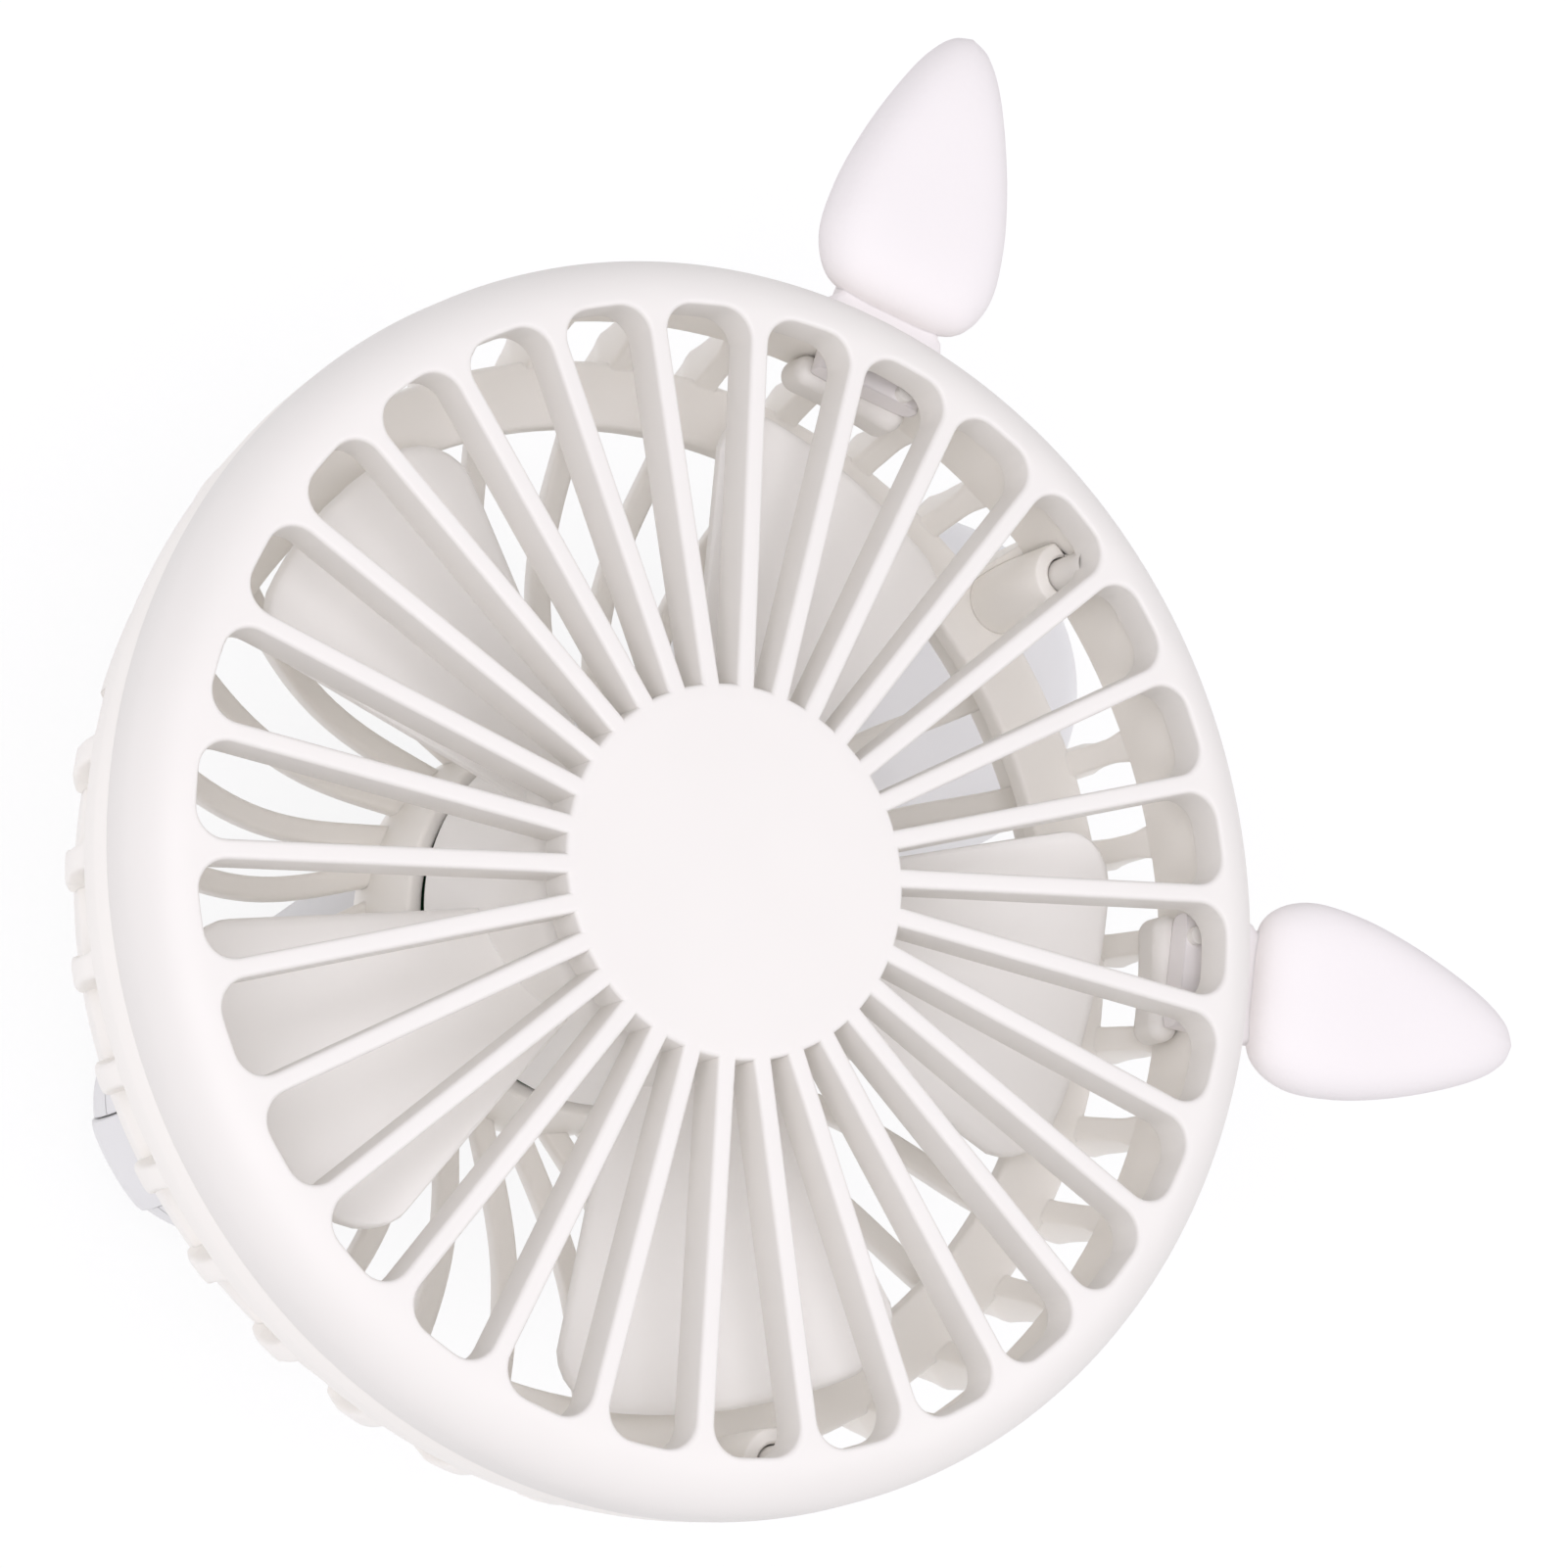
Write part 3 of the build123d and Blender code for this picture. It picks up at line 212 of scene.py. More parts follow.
# Mesh: points closer than WELD are one, faces that meet at more than a sharp angle keep a hard edge
WELD = 0.002
SHARP = 40.0
EAR_SHARP = 60.0
HANDLE_SHARP = 35.0
EASE_LIMIT = 0.45
TURN_STEPS = 180
HUB_STEPS = 120
POCKET_STEPS = 48
CAP_STEPS = 4
RIB_STEPS = 12
CORNER_STEPS = 9
OUTER_STEPS = 3
RIB_START = CAP_STEPS
RIB_END = CAP_STEPS + RIB_STEPS
PLATE_STEPS = 4
EDGE_STEPS = 5
UNDER_STEPS = 3
RIM_STEPS = 12
POST_STEPS = 24
SWIRL_STEPS = 24
FIN_STEPS = 16
WEB_STEPS = 16
BOSS_STEPS = 48
LUG_STEPS = 8
LUG_ROUND_STEPS = 36
LUG_EDGE_POWER = 8
BLADE_SIDE_STEPS = 10
BLADE_STEPS = 24
HUB_EASE_STEPS = 8
EAR_SIDE_STEPS = 6
EAR_LEVELS = 24
TONGUE_STEPS = 24
END_STEPS = 48
HANDLE_LEVELS = 24
BORE_STEPS = 24
SOCKET_STEPS = 32

# Camera: place and axes fitted to the photograph, image size 1601 by 1601
CAMERA_PLACE = (-0.0523, -0.2653, 0.5290)
CAMERA_RIGHT = (0.4757, 0.7348, 0.4835)
CAMERA_UP = (-0.8750, 0.4512, 0.1752)
CAMERA_BACK = (-0.0894, -0.5064, 0.8576)
CAMERA_LENS = 149.96
CAMERA_SENSOR = 36.0
CAMERA_CLIP = (0.01, 20.0)

# Light: a broad key near the camera, a fill from the far side and an even surround
LAMP_COLOR = (1.0, 0.985, 1.06)
WORLD_COLOR = (1.0, 0.985, 1.03, 1)
WORLD_LEVEL = 0.56
LAMP_TARGET = (0, 0, 0.04)
KEY_PLACE = (-0.14, -0.52, 0.92)
KEY_SIZE = 0.9
KEY_WATTS = 5.6
FILL_PLACE = (0.45, 0.40, 0.80)
FILL_SIZE = 0.8
FILL_WATTS = 2.4

# Floor, in metres
FLOOR_HALF = 3.0
FLOOR_HEIGHT = -0.0002
FLOOR_COLOR = (0.9, 0.9, 0.9, 1)
FLOOR_ROUGHNESS = 0.9
FLOOR_GLOW = 1.04
FLOOR_GLOW_SHARE = 0.8

# Surface grain: noise scales are per metre
RAMP_LOW = 0.3
RAMP_HIGH = 0.7
PLASTIC_CLOUDS = 45.0
PLASTIC_GLOSS = 160.0
PLASTIC_GLOSS_SPREAD = 0.04
PLASTIC_IOR = 1.46
BUMP_DISTANCE = 0.0002
FINE_DETAIL = 2.0
BEVEL_SAMPLES = 4
METAL_CLOUDS = 220.0
METAL_SHADES = (0.92, 1.04)
METAL_GLOSS_SPREAD = (0.06, 0.08)


# Materials
def new_material(name):
    material = bpy.data.materials.new(name)
    material.use_nodes = True
    nodes = material.node_tree.nodes
    return material, nodes, material.node_tree.links, nodes["Principled BSDF"]


def noise(nodes, links, scale, detail=3.0):
    """A noise texture in object space, so that it stays with the piece."""
    coordinates = nodes.new("ShaderNodeTexCoord")
    texture = nodes.new("ShaderNodeTexNoise")
    texture.inputs["Scale"].default_value = scale
    texture.inputs["Detail"].default_value = detail
    links.new(coordinates.outputs["Object"], texture.inputs["Vector"])
    return texture


def ramp(nodes, links, source, low, high):
    """Maps a noise's middle band to a range of colours or greys."""
    node = nodes.new("ShaderNodeValToRGB")
    node.color_ramp.elements[0].position = RAMP_LOW
    node.color_ramp.elements[1].position = RAMP_HIGH
    node.color_ramp.elements[0].color = low
    node.color_ramp.elements[1].color = high
    links.new(source.outputs["Fac"], node.inputs["Fac"])
    return node


def shade(color, factor):
    return tuple(channel * factor for channel in color) + (1.0,)


def moulded(name, color, roughness, variation=0.012, grain=2500.0, bump=0.02, edge=0.3):
    """Moulded plastic: faint cloudy colour, uneven gloss, a fine surface grain and softened edges."""
    material, nodes, links, bsdf = new_material(name)
    clouds = noise(nodes, links, PLASTIC_CLOUDS)
    tint = ramp(nodes, links, clouds, shade(color, 1 - variation), shade(color, 1 + variation))
    links.new(tint.outputs["Color"], bsdf.inputs["Base Color"])
    gloss = noise(nodes, links, PLASTIC_GLOSS)
    low, high = roughness - PLASTIC_GLOSS_SPREAD, roughness + PLASTIC_GLOSS_SPREAD
    gloss_ramp = ramp(nodes, links, gloss, (low, low, low, 1), (high, high, high, 1))
    links.new(gloss_ramp.outputs["Color"], bsdf.inputs["Roughness"])
    fine = noise(nodes, links, grain, FINE_DETAIL)
    bump_node = nodes.new("ShaderNodeBump")
    bump_node.inputs["Strength"].default_value = bump
    bump_node.inputs["Distance"].default_value = BUMP_DISTANCE
    links.new(fine.outputs["Fac"], bump_node.inputs["Height"])
    soft_edge = nodes.new("ShaderNodeBevel")
    soft_edge.samples = BEVEL_SAMPLES
    soft_edge.inputs["Radius"].default_value = edge * MM
    links.new(soft_edge.outputs["Normal"], bump_node.inputs["Normal"])
    links.new(bump_node.outputs["Normal"], bsdf.inputs["Normal"])
    bsdf.inputs["IOR"].default_value = PLASTIC_IOR
    return material


def metal(name, color, roughness, grain=900.0):
    """Plain metal with fine uneven polish."""
    material, nodes, links, bsdf = new_material(name)
    clouds = noise(nodes, links, METAL_CLOUDS)
    tint = ramp(nodes, links, clouds, *(shade(color, factor) for factor in METAL_SHADES))
    links.new(tint.outputs["Color"], bsdf.inputs["Base Color"])
    gloss = noise(nodes, links, grain)
    low, high = roughness - METAL_GLOSS_SPREAD[0], roughness + METAL_GLOSS_SPREAD[1]
    gloss_ramp = ramp(nodes, links, gloss, (low, low, low, 1), (high, high, high, 1))
    links.new(gloss_ramp.outputs["Color"], bsdf.inputs["Roughness"])
    bsdf.inputs["Metallic"].default_value = 1.0
    return material


# The covers, basket and fan wheel are one white plastic: basket_white and impeller_white are painted
# lighter and creamier than shell_white, a painted light that brightens the shade inside the head
MATERIALS = {
    "shell_white": moulded("shell_white", (0.835, 0.81, 0.765), 0.48, edge=0.12),
    # Painted light: the covers' white plastic, painted lighter and creamier to brighten the shaded inside
    # of the head
    "basket_white": moulded("basket_white", (0.955, 0.925, 0.865), 0.45, edge=0.2),
    "ear_soft": moulded("ear_soft", (0.86, 0.825, 0.81), 0.75, grain=1400.0, bump=0.12),
    # Painted light: the covers' white plastic, painted lighter and creamier to brighten the shaded inside
    # of the head
    "impeller_white": moulded("impeller_white", (0.955, 0.935, 0.895), 0.5, edge=0.15),
    "handle_white": moulded("handle_white", (0.85, 0.845, 0.835), 0.38, edge=0.15),
    "button_grey": moulded("button_grey", (0.80, 0.80, 0.82), 0.5),
    "light_window": moulded("light_window", (0.85, 0.88, 0.90), 0.2),
    "steel": metal("steel", (0.62, 0.62, 0.64), 0.3),
    "lamination": metal("lamination", (0.40, 0.40, 0.42), 0.45),
    "magnet": moulded("magnet", (0.05, 0.05, 0.055), 0.5),
    "copper": metal("copper", (0.62, 0.26, 0.12), 0.35),
    "bronze": metal("bronze", (0.62, 0.44, 0.20), 0.35),
    "board_green": moulded("board_green", (0.02, 0.13, 0.05), 0.35),
    "cell_wrap": metal("cell_wrap", (0.68, 0.69, 0.71), 0.4),
    "nickel": metal("nickel", (0.70, 0.68, 0.62), 0.3),
    "switch_black": moulded("switch_black", (0.02, 0.02, 0.02), 0.5),
}
for subpart in frame["record"]["subparts"]:
    node = frame["nodes"][subpart["node"]]
    node.data.materials.clear()
    node.data.materials.append(MATERIALS[subpart["material_slot"]])


# Mesh helpers: points are in millimetres in the row frame
def polar(radius, angle, height):
    """A point at a radius, an angle in degrees and a height."""
    turn = math.radians(angle)
    return (radius * math.cos(turn), radius * math.sin(turn), height)


def piece(name, points, faces, body, slot, replaced=(), sharp=SHARP):
    """A smooth mesh that rides on a body, with hard edges only where faces meet at a steep angle."""
    return dress(mesh_object(name, points, faces), body, slot, replaced, sharp)


def mesh_object(name, points, faces):
    """A plain object with outward faces, linked to the scene."""
    mesh = bpy.data.meshes.new(name)
    mesh.from_pydata([Vector(point) * MM for point in points], [], faces)
    work = bmesh.new()
    work.from_mesh(mesh)
    bmesh.ops.remove_doubles(work, verts=work.verts, dist=WELD * MM)
    bmesh.ops.recalc_face_normals(work, faces=work.faces)
    work.to_mesh(mesh)
    work.free()
    made = bpy.data.objects.new(name, mesh)
    bpy.context.scene.collection.objects.link(made)
    return made


def dress(made, body, slot, replaced, sharp):
    """Shades a piece smoothly, gives it its material and lets it ride on its body."""
    for polygon in made.data.polygons:
        polygon.use_smooth = True
    made.data.set_sharp_from_angle(angle=math.radians(sharp))
    made.data.materials.clear()
    made.data.materials.append(MATERIALS[slot])
    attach(made, body)
    if replaced:
        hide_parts(*replaced)
    return made


class Shape:
    """Collects the points and faces of one piece."""

    def __init__(self):
        self.points = []
        self.faces = []

    def grid(self, rows, close_rows=False, close_columns=False):
        """Quads between rows of points of equal length."""
        start = len(self.points)
        width = len(rows[0])
        for row in rows:
            self.points.extend(row)
        row_count = len(rows) if close_rows else len(rows) - 1
        column_count = width if close_columns else width - 1
        for i in range(row_count):
            for j in range(column_count):
                next_i = (i + 1) % len(rows)
                next_j = (j + 1) % width
                self.faces.append(
                    (start + i * width + j, start + i * width + next_j,
                     start + next_i * width + next_j, start + next_i * width + j)
                )

    def cap(self, row):
        """One face across a closed row of points."""
        start = len(self.points)
        self.points.extend(row)
        self.faces.append(tuple(range(start, start + len(row))))

    def join(self, other):
        """Takes in another shape's points and faces."""
        offset = len(self.points)
        self.points.extend(other.points)
        self.faces.extend(tuple(index + offset for index in face) for face in other.faces)

    def turned(self, count, start_angle=0.0):
        """Copies the shape round the axis, the way a pattern repeats."""
        points, faces = self.points, self.faces
        self.points, self.faces = [], []
        for number in range(count):
            rotation = Matrix.Rotation(math.radians(start_angle + number * 360 / count), 3, "Z")
            offset = len(self.points)
            self.points.extend(tuple(rotation @ Vector(point)) for point in points)
            self.faces.extend(tuple(index + offset for index in face) for face in faces)


def rounded(corners, radius, steps=4):
    """A closed outline with its corners eased by short curves."""
    points = []
    for i, corner in enumerate(corners):
        here = Vector(corner)
        back = Vector(corners[i - 1]) - here
        ahead = Vector(corners[(i + 1) % len(corners)]) - here
        start = here + back.normalized() * min(radius, back.length * EASE_LIMIT)
        end = here + ahead.normalized() * min(radius, ahead.length * EASE_LIMIT)
        for step in range(steps + 1):
            t = step / steps
            points.append(tuple(start * (1 - t) ** 2 + here * 2 * t * (1 - t) + end * t**2))
    return points


def revolved(shape, profile, count=TURN_STEPS):
    """Turns a closed profile of radii and heights round the axis."""
    rows = [[polar(radius, 360 * i / count, height) for radius, height in profile] for i in range(count)]
    shape.grid(rows, close_rows=True, close_columns=True)


def between(table, key):
    """Straight-line value from a short table of falling keys."""
    for (high, high_value), (low, low_value) in zip(table, table[1:]):
        if key >= low:
            return low_value + (high_value - low_value) * (key - low) / (high - low)
    return table[-1][1]


def front_height(radius):
    """Height of the front surface: a flat cap, a faint cone over the ribs and the rim's round."""
    slope = CONE_DROP / (SLOT_RADIUS - CAP_RADIUS)
    cone = CAP_HEIGHT - slope * max(0.0, radius - CAP_RADIUS)
    if radius <= SLOT_RADIUS:
        return cone
    reach = min(radius - RIM_ROUND_CENTER[0], RIM_ROUND)
    return RIM_ROUND_CENTER[1] + math.sqrt(RIM_ROUND**2 - reach**2)


def slot_edge(inset):
    """Half a slot's edge beside the rib on +X, moved into the plastic.

    It runs along the cap's arc, the rib's side, the corner and the outer arc.
    """
    cap_radius = CAP_RADIUS - inset
    side = RIB_HALF - inset
    middle = 180 / RIB_COUNT
    corner_center_y = RIB_HALF + SLOT_CORNER
    corner_radius = SLOT_RADIUS - SLOT_CORNER
    corner_center_x = math.sqrt(corner_radius**2 - corner_center_y**2)
    corner_angle = math.degrees(math.atan2(corner_center_y, corner_center_x))
    foot = math.degrees(math.asin(side / cap_radius))
    path = []
    for i in range(CAP_STEPS):
        angle = math.radians(middle + (foot - middle) * i / CAP_STEPS)
        path.append((cap_radius * math.cos(angle), cap_radius * math.sin(angle)))
    foot_x = cap_radius * math.cos(math.radians(foot))
    for i in range(RIB_STEPS):
        path.append((foot_x + (corner_center_x - foot_x) * i / RIB_STEPS, side))
    round_radius = SLOT_CORNER + inset
    for i in range(CORNER_STEPS):
        angle = math.radians(-90 + (90 + corner_angle) * i / CORNER_STEPS)
        x = corner_center_x + round_radius * math.cos(angle)
        y = corner_center_y + round_radius * math.sin(angle)
        path.append((x, y))
    outer_radius = SLOT_RADIUS + inset
    for i in range(OUTER_STEPS + 1):
        angle = math.radians(corner_angle + (middle - corner_angle) * i / OUTER_STEPS)
        path.append((outer_radius * math.cos(angle), outer_radius * math.sin(angle)))
    return path


def at_height(path, height):
    """Lifts a plan path to a height that follows its radius."""
    return [(x, y, height(math.hypot(x, y))) for x, y in path]


def mirrored(row):
    return [(x, -y, z) for x, y, z in row]


def fill_plate(shape, edge, height, ring_radius):
    """Fills one face of the plate between the slots' edges: cap, rib and the strip up to a ring."""
    other = mirrored(edge)
    shape.grid([edge[RIB_START:RIB_END + 1], other[RIB_START:RIB_END + 1]])
    cap_row = edge[:RIB_START + 1] + other[:RIB_START + 1][::-1]
    rows = [cap_row]
    angles = [math.degrees(math.atan2(y, x)) for x, y, z in cap_row]
    for radius in CAP_RINGS:
        rows.append([polar(radius, angle, height(radius)) for angle in angles])
    shape.grid(rows)
    rim_row = edge[RIB_END:][::-1] + other[RIB_END:]
    count = len(rim_row)
    middle = 180 / RIB_COUNT
    ring = [polar(ring_radius, middle - 2 * middle * i / (count - 1), 0) for i in range(count)]
    rows = []
    for step in range(PLATE_STEPS + 1):
        share = step / PLATE_STEPS
        row = []
        for (x0, y0, z0), (x1, y1, z1) in zip(rim_row, ring):
            x, y = x0 + (x1 - x0) * share, y0 + (y1 - y0) * share
            row.append((x, y, height(math.hypot(x, y))))
        rows.append(row)
    shape.grid(rows)
    return rows[-1]


def front_grille():
    """Cap, ribs and rim as one smooth moulding, one rib's sector repeated round the axis, and its posts."""
    shape = Shape()

    def under_height(radius):
        return front_height(min(radius, SLOT_RADIUS)) - PLATE_DEPTH

    rows = []
    for step in range(EDGE_STEPS + 1):
        turn = math.radians(90 * step / EDGE_STEPS)
        path = slot_edge(EDGE_ROUND * (1 - math.sin(turn)))
        drop = EDGE_ROUND * (1 - math.cos(turn))
        rows.append(at_height(path, lambda radius: front_height(radius) - drop))
    for step in range(UNDER_STEPS + 1):
        turn = math.radians(90 * step / UNDER_STEPS)
        path = slot_edge(UNDER_ROUND * (1 - math.cos(turn)))
        lift = UNDER_ROUND * (1 - math.sin(turn))
        rows.append(at_height(path, lambda radius: under_height(radius) + lift))
    shape.grid(rows)
    shape.grid([mirrored(row) for row in rows])
    ring_radius = SLOT_RADIUS + FRONT_RING_MARGIN
    top_ring = fill_plate(shape, rows[0], front_height, ring_radius)
    under_ring = fill_plate(shape, rows[-1], under_height, ring_radius)
    angles = [math.degrees(math.atan2(y, x)) for x, y, z in top_ring]
    profile = [(ring_radius, front_height(ring_radius))]
    round_radius, round_height = RIM_ROUND_CENTER
    start = math.acos((ring_radius - round_radius) / RIM_ROUND)
    for step in range(1, RIM_STEPS + 1):
        turn = start * (1 - step / RIM_STEPS)
        rim_radius = round_radius + RIM_ROUND * math.cos(turn)
        profile.append((rim_radius, round_height + RIM_ROUND * math.sin(turn)))
    profile += [(RIM_RADIUS - inset, PARTING + lift) for inset, lift in RIM_EASE]
    profile += [
        (FRONT_WALL_RADIUS, PARTING),
        (FRONT_WALL_RADIUS, under_height(FRONT_WALL_RADIUS)),
        (ring_radius, under_height(ring_radius)),
    ]
    shape.grid([[polar(radius, angle, height) for angle in angles] for radius, height in profile])
    shape.turned(RIB_COUNT)
    post_profile = (
        (POST_HOLE, POST_BOTTOM),
        (POST_RADIUS - POST_EASE, POST_BOTTOM),
        (POST_RADIUS, POST_BOTTOM + POST_EASE),
        (POST_RADIUS, under_height(SLOT_RADIUS) + POST_SINK),
    )
    for screw_angle in SCREW_ANGLES:
        post = []
        for radius, height in post_profile:
            center = polar(SCREW_CIRCLE, screw_angle, height)
            ring = [polar(radius, 360 / POST_STEPS * step, 0) for step in range(POST_STEPS)]
            post.append([(center[0] + x, center[1] + y, height) for x, y, z in ring])
        shape.grid(post, close_columns=True)
    return piece("front_cover", shape.points, shape.faces, "head", "shell_white", ("front_grille",))


front_grille()


def swirl_line(radius):
    """Azimuth and front height of a swirl rib's middle line."""
    step = (radius - SWIRL_MIDDLE) / SWIRL_REACH
    azimuth = sum(factor * step**power for power, factor in enumerate(SWIRL_TURN))
    height = sum(factor * step**power for power, factor in enumerate(SWIRL_RISE))
    return azimuth, height


def swirl_ribs():
    """Curved ribs from the cup to the skirt, with eased edges."""
    shape = Shape()
    half, deep = SWIRL_WIDTH / 2, SWIRL_DEPTH
    section = rounded(((-half, 0), (half, 0), (half, -deep), (-half, -deep)), SWIRL_EASE)
    rows = []
    for number in range(SWIRL_STEPS + 1):
        radius = SWIRL_INNER + (SWIRL_OUTER - SWIRL_INNER) * number / SWIRL_STEPS
        azimuth, height = swirl_line(radius)
        place = Vector(polar(radius, azimuth, height))
        beyond = radius + SWIRL_STEP
        ahead = Vector(polar(beyond, *swirl_line(beyond))) - place
        across = Vector((-ahead.y, ahead.x, 0)).normalized()
        rows.append([tuple(place + across * u + Vector((0, 0, v))) for u, v in section])
    shape.grid(rows, close_columns=True)
    shape.turned(SWIRL_COUNT)
    return shape


def fin():
    """One fin along +X: from the band round the shoulder to the skirt, flared at the band and the ring."""
    shape = Shape()
    first, middle, last = (Vector(point) for point in FIN_ARC)
    straight_end = FIN_TOP - FIN_STRAIGHT
    outer = [Vector((first.x, FIN_TOP)), Vector((first.x, straight_end))]
    for number in range(FIN_STEPS + 1):
        t = number / FIN_STEPS
        outer.append(first * (2 * t - 1) * (t - 1) + middle * 4 * t * (1 - t) + last * t * (2 * t - 1))
    inner_radius, inner_height = FIN_INNER_FOOT
    ring_height, ring_reach = FIN_FLARE_RING
    rows = []
    for point in outer:
        inner = inner_radius + FIN_INNER_LEAN * max(0.0, point.y - inner_height) / (FIN_TOP - inner_height)
        depth = point.x - inner
        near_top = max(0.0, 1 - (straight_end - point.y) / FIN_FLARE_TOP)
        near_ring = max(0.0, 1 - abs(point.y - ring_height) / ring_reach)
        half = (FIN_WIDTH + FIN_FLARE * (min(near_top, 1.0) ** 2 + near_ring**2)) / 2
        section = rounded(((0, -half), (depth, -half), (depth, half), (0, half)), FIN_EASE)
        rows.append([(inner + u, v, point.y) for u, v in section])
    shape.grid(rows, close_columns=True)
    shape.cap(rows[-1])
    return shape


def screw_web():
    """The web along +X at a screw, with a channel for the screw's head, and the boss round the post."""
    shape = Shape()
    rows = []
    for number in range(2 * WEB_STEPS + 1):
        angle = WEB_HALF_ANGLE * (number / WEB_STEPS - 1)
        across = SCREW_CIRCLE * math.radians(angle)
        row = []
        for height in WEB_HEIGHTS:
            radius = between(WEB_OUTER, height)
            if height < SCREW_SEAT and abs(across) < RECESS_RADIUS:
                radius = min(radius, SCREW_CIRCLE - math.sqrt(RECESS_RADIUS**2 - across**2))
            row.append(polar(radius, angle, height))
        for height in reversed(WEB_HEIGHTS):
            row.append(polar(between(WEB_INNER, height), angle, height))
        rows.append(row)
    shape.grid(rows, close_columns=True)
    shape.cap(rows[0])
    shape.cap(rows[-1])
    mouth_radius = BOSS_HOLE + BOSS_MOUTH
    hole_bottom = POST_BOTTOM - BOSS_MOUTH
    boss_profile = (
        (BOSS_RADIUS, SCREW_SEAT),
        (BOSS_RADIUS, BOSS_TOP - BOSS_EASE),
        (BOSS_RADIUS - BOSS_EASE * BOSS_EASE_MIDDLE, BOSS_TOP - BOSS_EASE * BOSS_EASE_MIDDLE),
        (BOSS_RADIUS - BOSS_EASE, BOSS_TOP),
        (mouth_radius, BOSS_TOP),
        (BOSS_HOLE, BOSS_TOP - BOSS_MOUTH),
        (BOSS_HOLE, hole_bottom),
        (AXIS, hole_bottom),
    )
    boss = []
    for radius, height in boss_profile:
        ring = []
        for step in range(BOSS_STEPS):
            x, y, z = polar(radius, 360 / BOSS_STEPS * step, height)
            x += SCREW_CIRCLE
            trim = min(1.0, BOSS_OUTER / math.hypot(x, y)) if radius > mouth_radius else 1.0
            ring.append((x * trim, y * trim, height))
        boss.append(ring)
    shape.grid(boss, close_columns=True)
    return shape


def hinge_lug():
    """The lug under the cup that stands in the handle's fork, with a crowned round end."""
    shape = Shape()
    rows = []
    pivot_y, pivot_z = LUG_PIVOT
    for number in range(2 * LUG_STEPS + 1):
        share = number / LUG_STEPS - 1
        x = LUG_HALF_WIDTH * share
        easing = LUG_EASING * (1 - math.sqrt(1 - share**LUG_EDGE_POWER))
        radius = LUG_RADIUS - LUG_CROWN * share**2 - easing
        stem_turn = math.acos(STEM_HALF_WIDTH / radius)
        outline = []
        for step in range(LUG_ROUND_STEPS + 1):
            turn = stem_turn - (math.pi + 2 * stem_turn) * step / LUG_ROUND_STEPS
            outline.append((pivot_y + radius * math.cos(turn), pivot_z + radius * math.sin(turn)))
        rows.append([(x, y, z) for y, z in outline + list(LUG_SHOULDERS)])
    shape.grid(rows, close_columns=True)
    shape.cap(rows[0])
    shape.cap(rows[-1])
    return piece("hinge_arm", shape.points, shape.faces, "head", "handle_white")


def rear_basket():
    """Band, ring with skirt, cup, swirl ribs, fins and screw webs."""
    whole = Shape()
    revolved(whole, rounded(BAND_PROFILE, BAND_EASE))
    revolved(whole, rounded(RING_PROFILE, RING_EASE))
    revolved(whole, rounded(CUP_PROFILE, CUP_EASE), HUB_STEPS)
    whole.join(swirl_ribs())
    for number in range(FIN_COUNT):
        angle = FIN_START + number * 360 / FIN_COUNT
        if min(abs(angle - screw_angle) for screw_angle in SCREW_ANGLES) > FIN_CLEARANCE:
            one = fin()
            one.turned(1, angle)
            whole.join(one)
    for screw_angle in SCREW_ANGLES:
        web = screw_web()
        web.turned(1, screw_angle)
        whole.join(web)
    return piece("rear_basket", whole.points, whole.faces, "head", "basket_white", ("rear_cover",))


rear_basket()
hinge_lug()


def blade():
    """One twisted, cambered blade along +X, with rounded tips and thin round edges."""
    corner_ring = BLADE_TIP - BLADE_CORNER
    corner_angle = BLADE_HALF_ANGLE - math.degrees(math.asin(BLADE_CORNER / corner_ring))
    (low_x, low_z, low_rise), (high_x, high_z, high_rise) = BLADE_ENDS

    def tip_radius(angle):
        beyond = math.radians(max(0.0, abs(angle) - corner_angle))
        if beyond == 0:
            return BLADE_TIP
        left = max(0.0, BLADE_CORNER**2 - (corner_ring * math.sin(beyond)) ** 2)
        return corner_ring * math.cos(beyond) + math.sqrt(left)

    side_power, tip_power = BLADE_CROWDING
    steps = range(-BLADE_SIDE_STEPS, BLADE_SIDE_STEPS + 1)
    shares = [math.sin(math.radians(90 * step / BLADE_SIDE_STEPS)) for step in steps]
    shares = [math.copysign(abs(share) ** side_power, share) for share in shares]
    upper, lower = [], []
    for share in shares:
        angle = BLADE_HALF_ANGLE * share
        far = tip_radius(angle)
        upper_row, lower_row = [], []
        for number in range(BLADE_STEPS + 1):
            reach = 1 - (1 - number / BLADE_STEPS) ** tip_power
            radius = BLADE_ROOT + (far - BLADE_ROOT) * reach
            x, y, _ = polar(radius, angle, 0)
            along = (x - low_x) / (high_x - low_x)
            side = y / (x * math.tan(math.radians(BLADE_HALF_ANGLE)))
            middle = low_z + (high_z - low_z) * along - BLADE_SAG * (1 - side**2)
            middle += (low_rise + (high_rise - low_rise) * along) * side
            margin = min(far - radius, radius * math.sin(math.radians(BLADE_HALF_ANGLE - abs(angle))))
            inside = min(max(margin, 0.0) / BLADE_EDGE, 1.0)
            half = BLADE_HALF_THICKNESS * math.sqrt(1 - (1 - inside) ** 2)
            upper_row.append((x, y, middle + half))
            lower_row.append((x, y, middle - half))
        upper.append(upper_row)
        lower.append(lower_row)
    shape = Shape()
    shape.grid(upper)
    shape.grid(lower)
    return shape


def fan_wheel():
    """Hub and blades."""
    whole = blade()
    whole.turned(BLADE_COUNT, BLADE_START)
    profile = rounded(HUB_PROFILE, HUB_ROUND, HUB_EASE_STEPS)
    revolved(whole, profile, HUB_STEPS)
    return piece("fan_wheel", whole.points, whole.faces, "rotor", "impeller_white", ("impeller",))


fan_wheel()


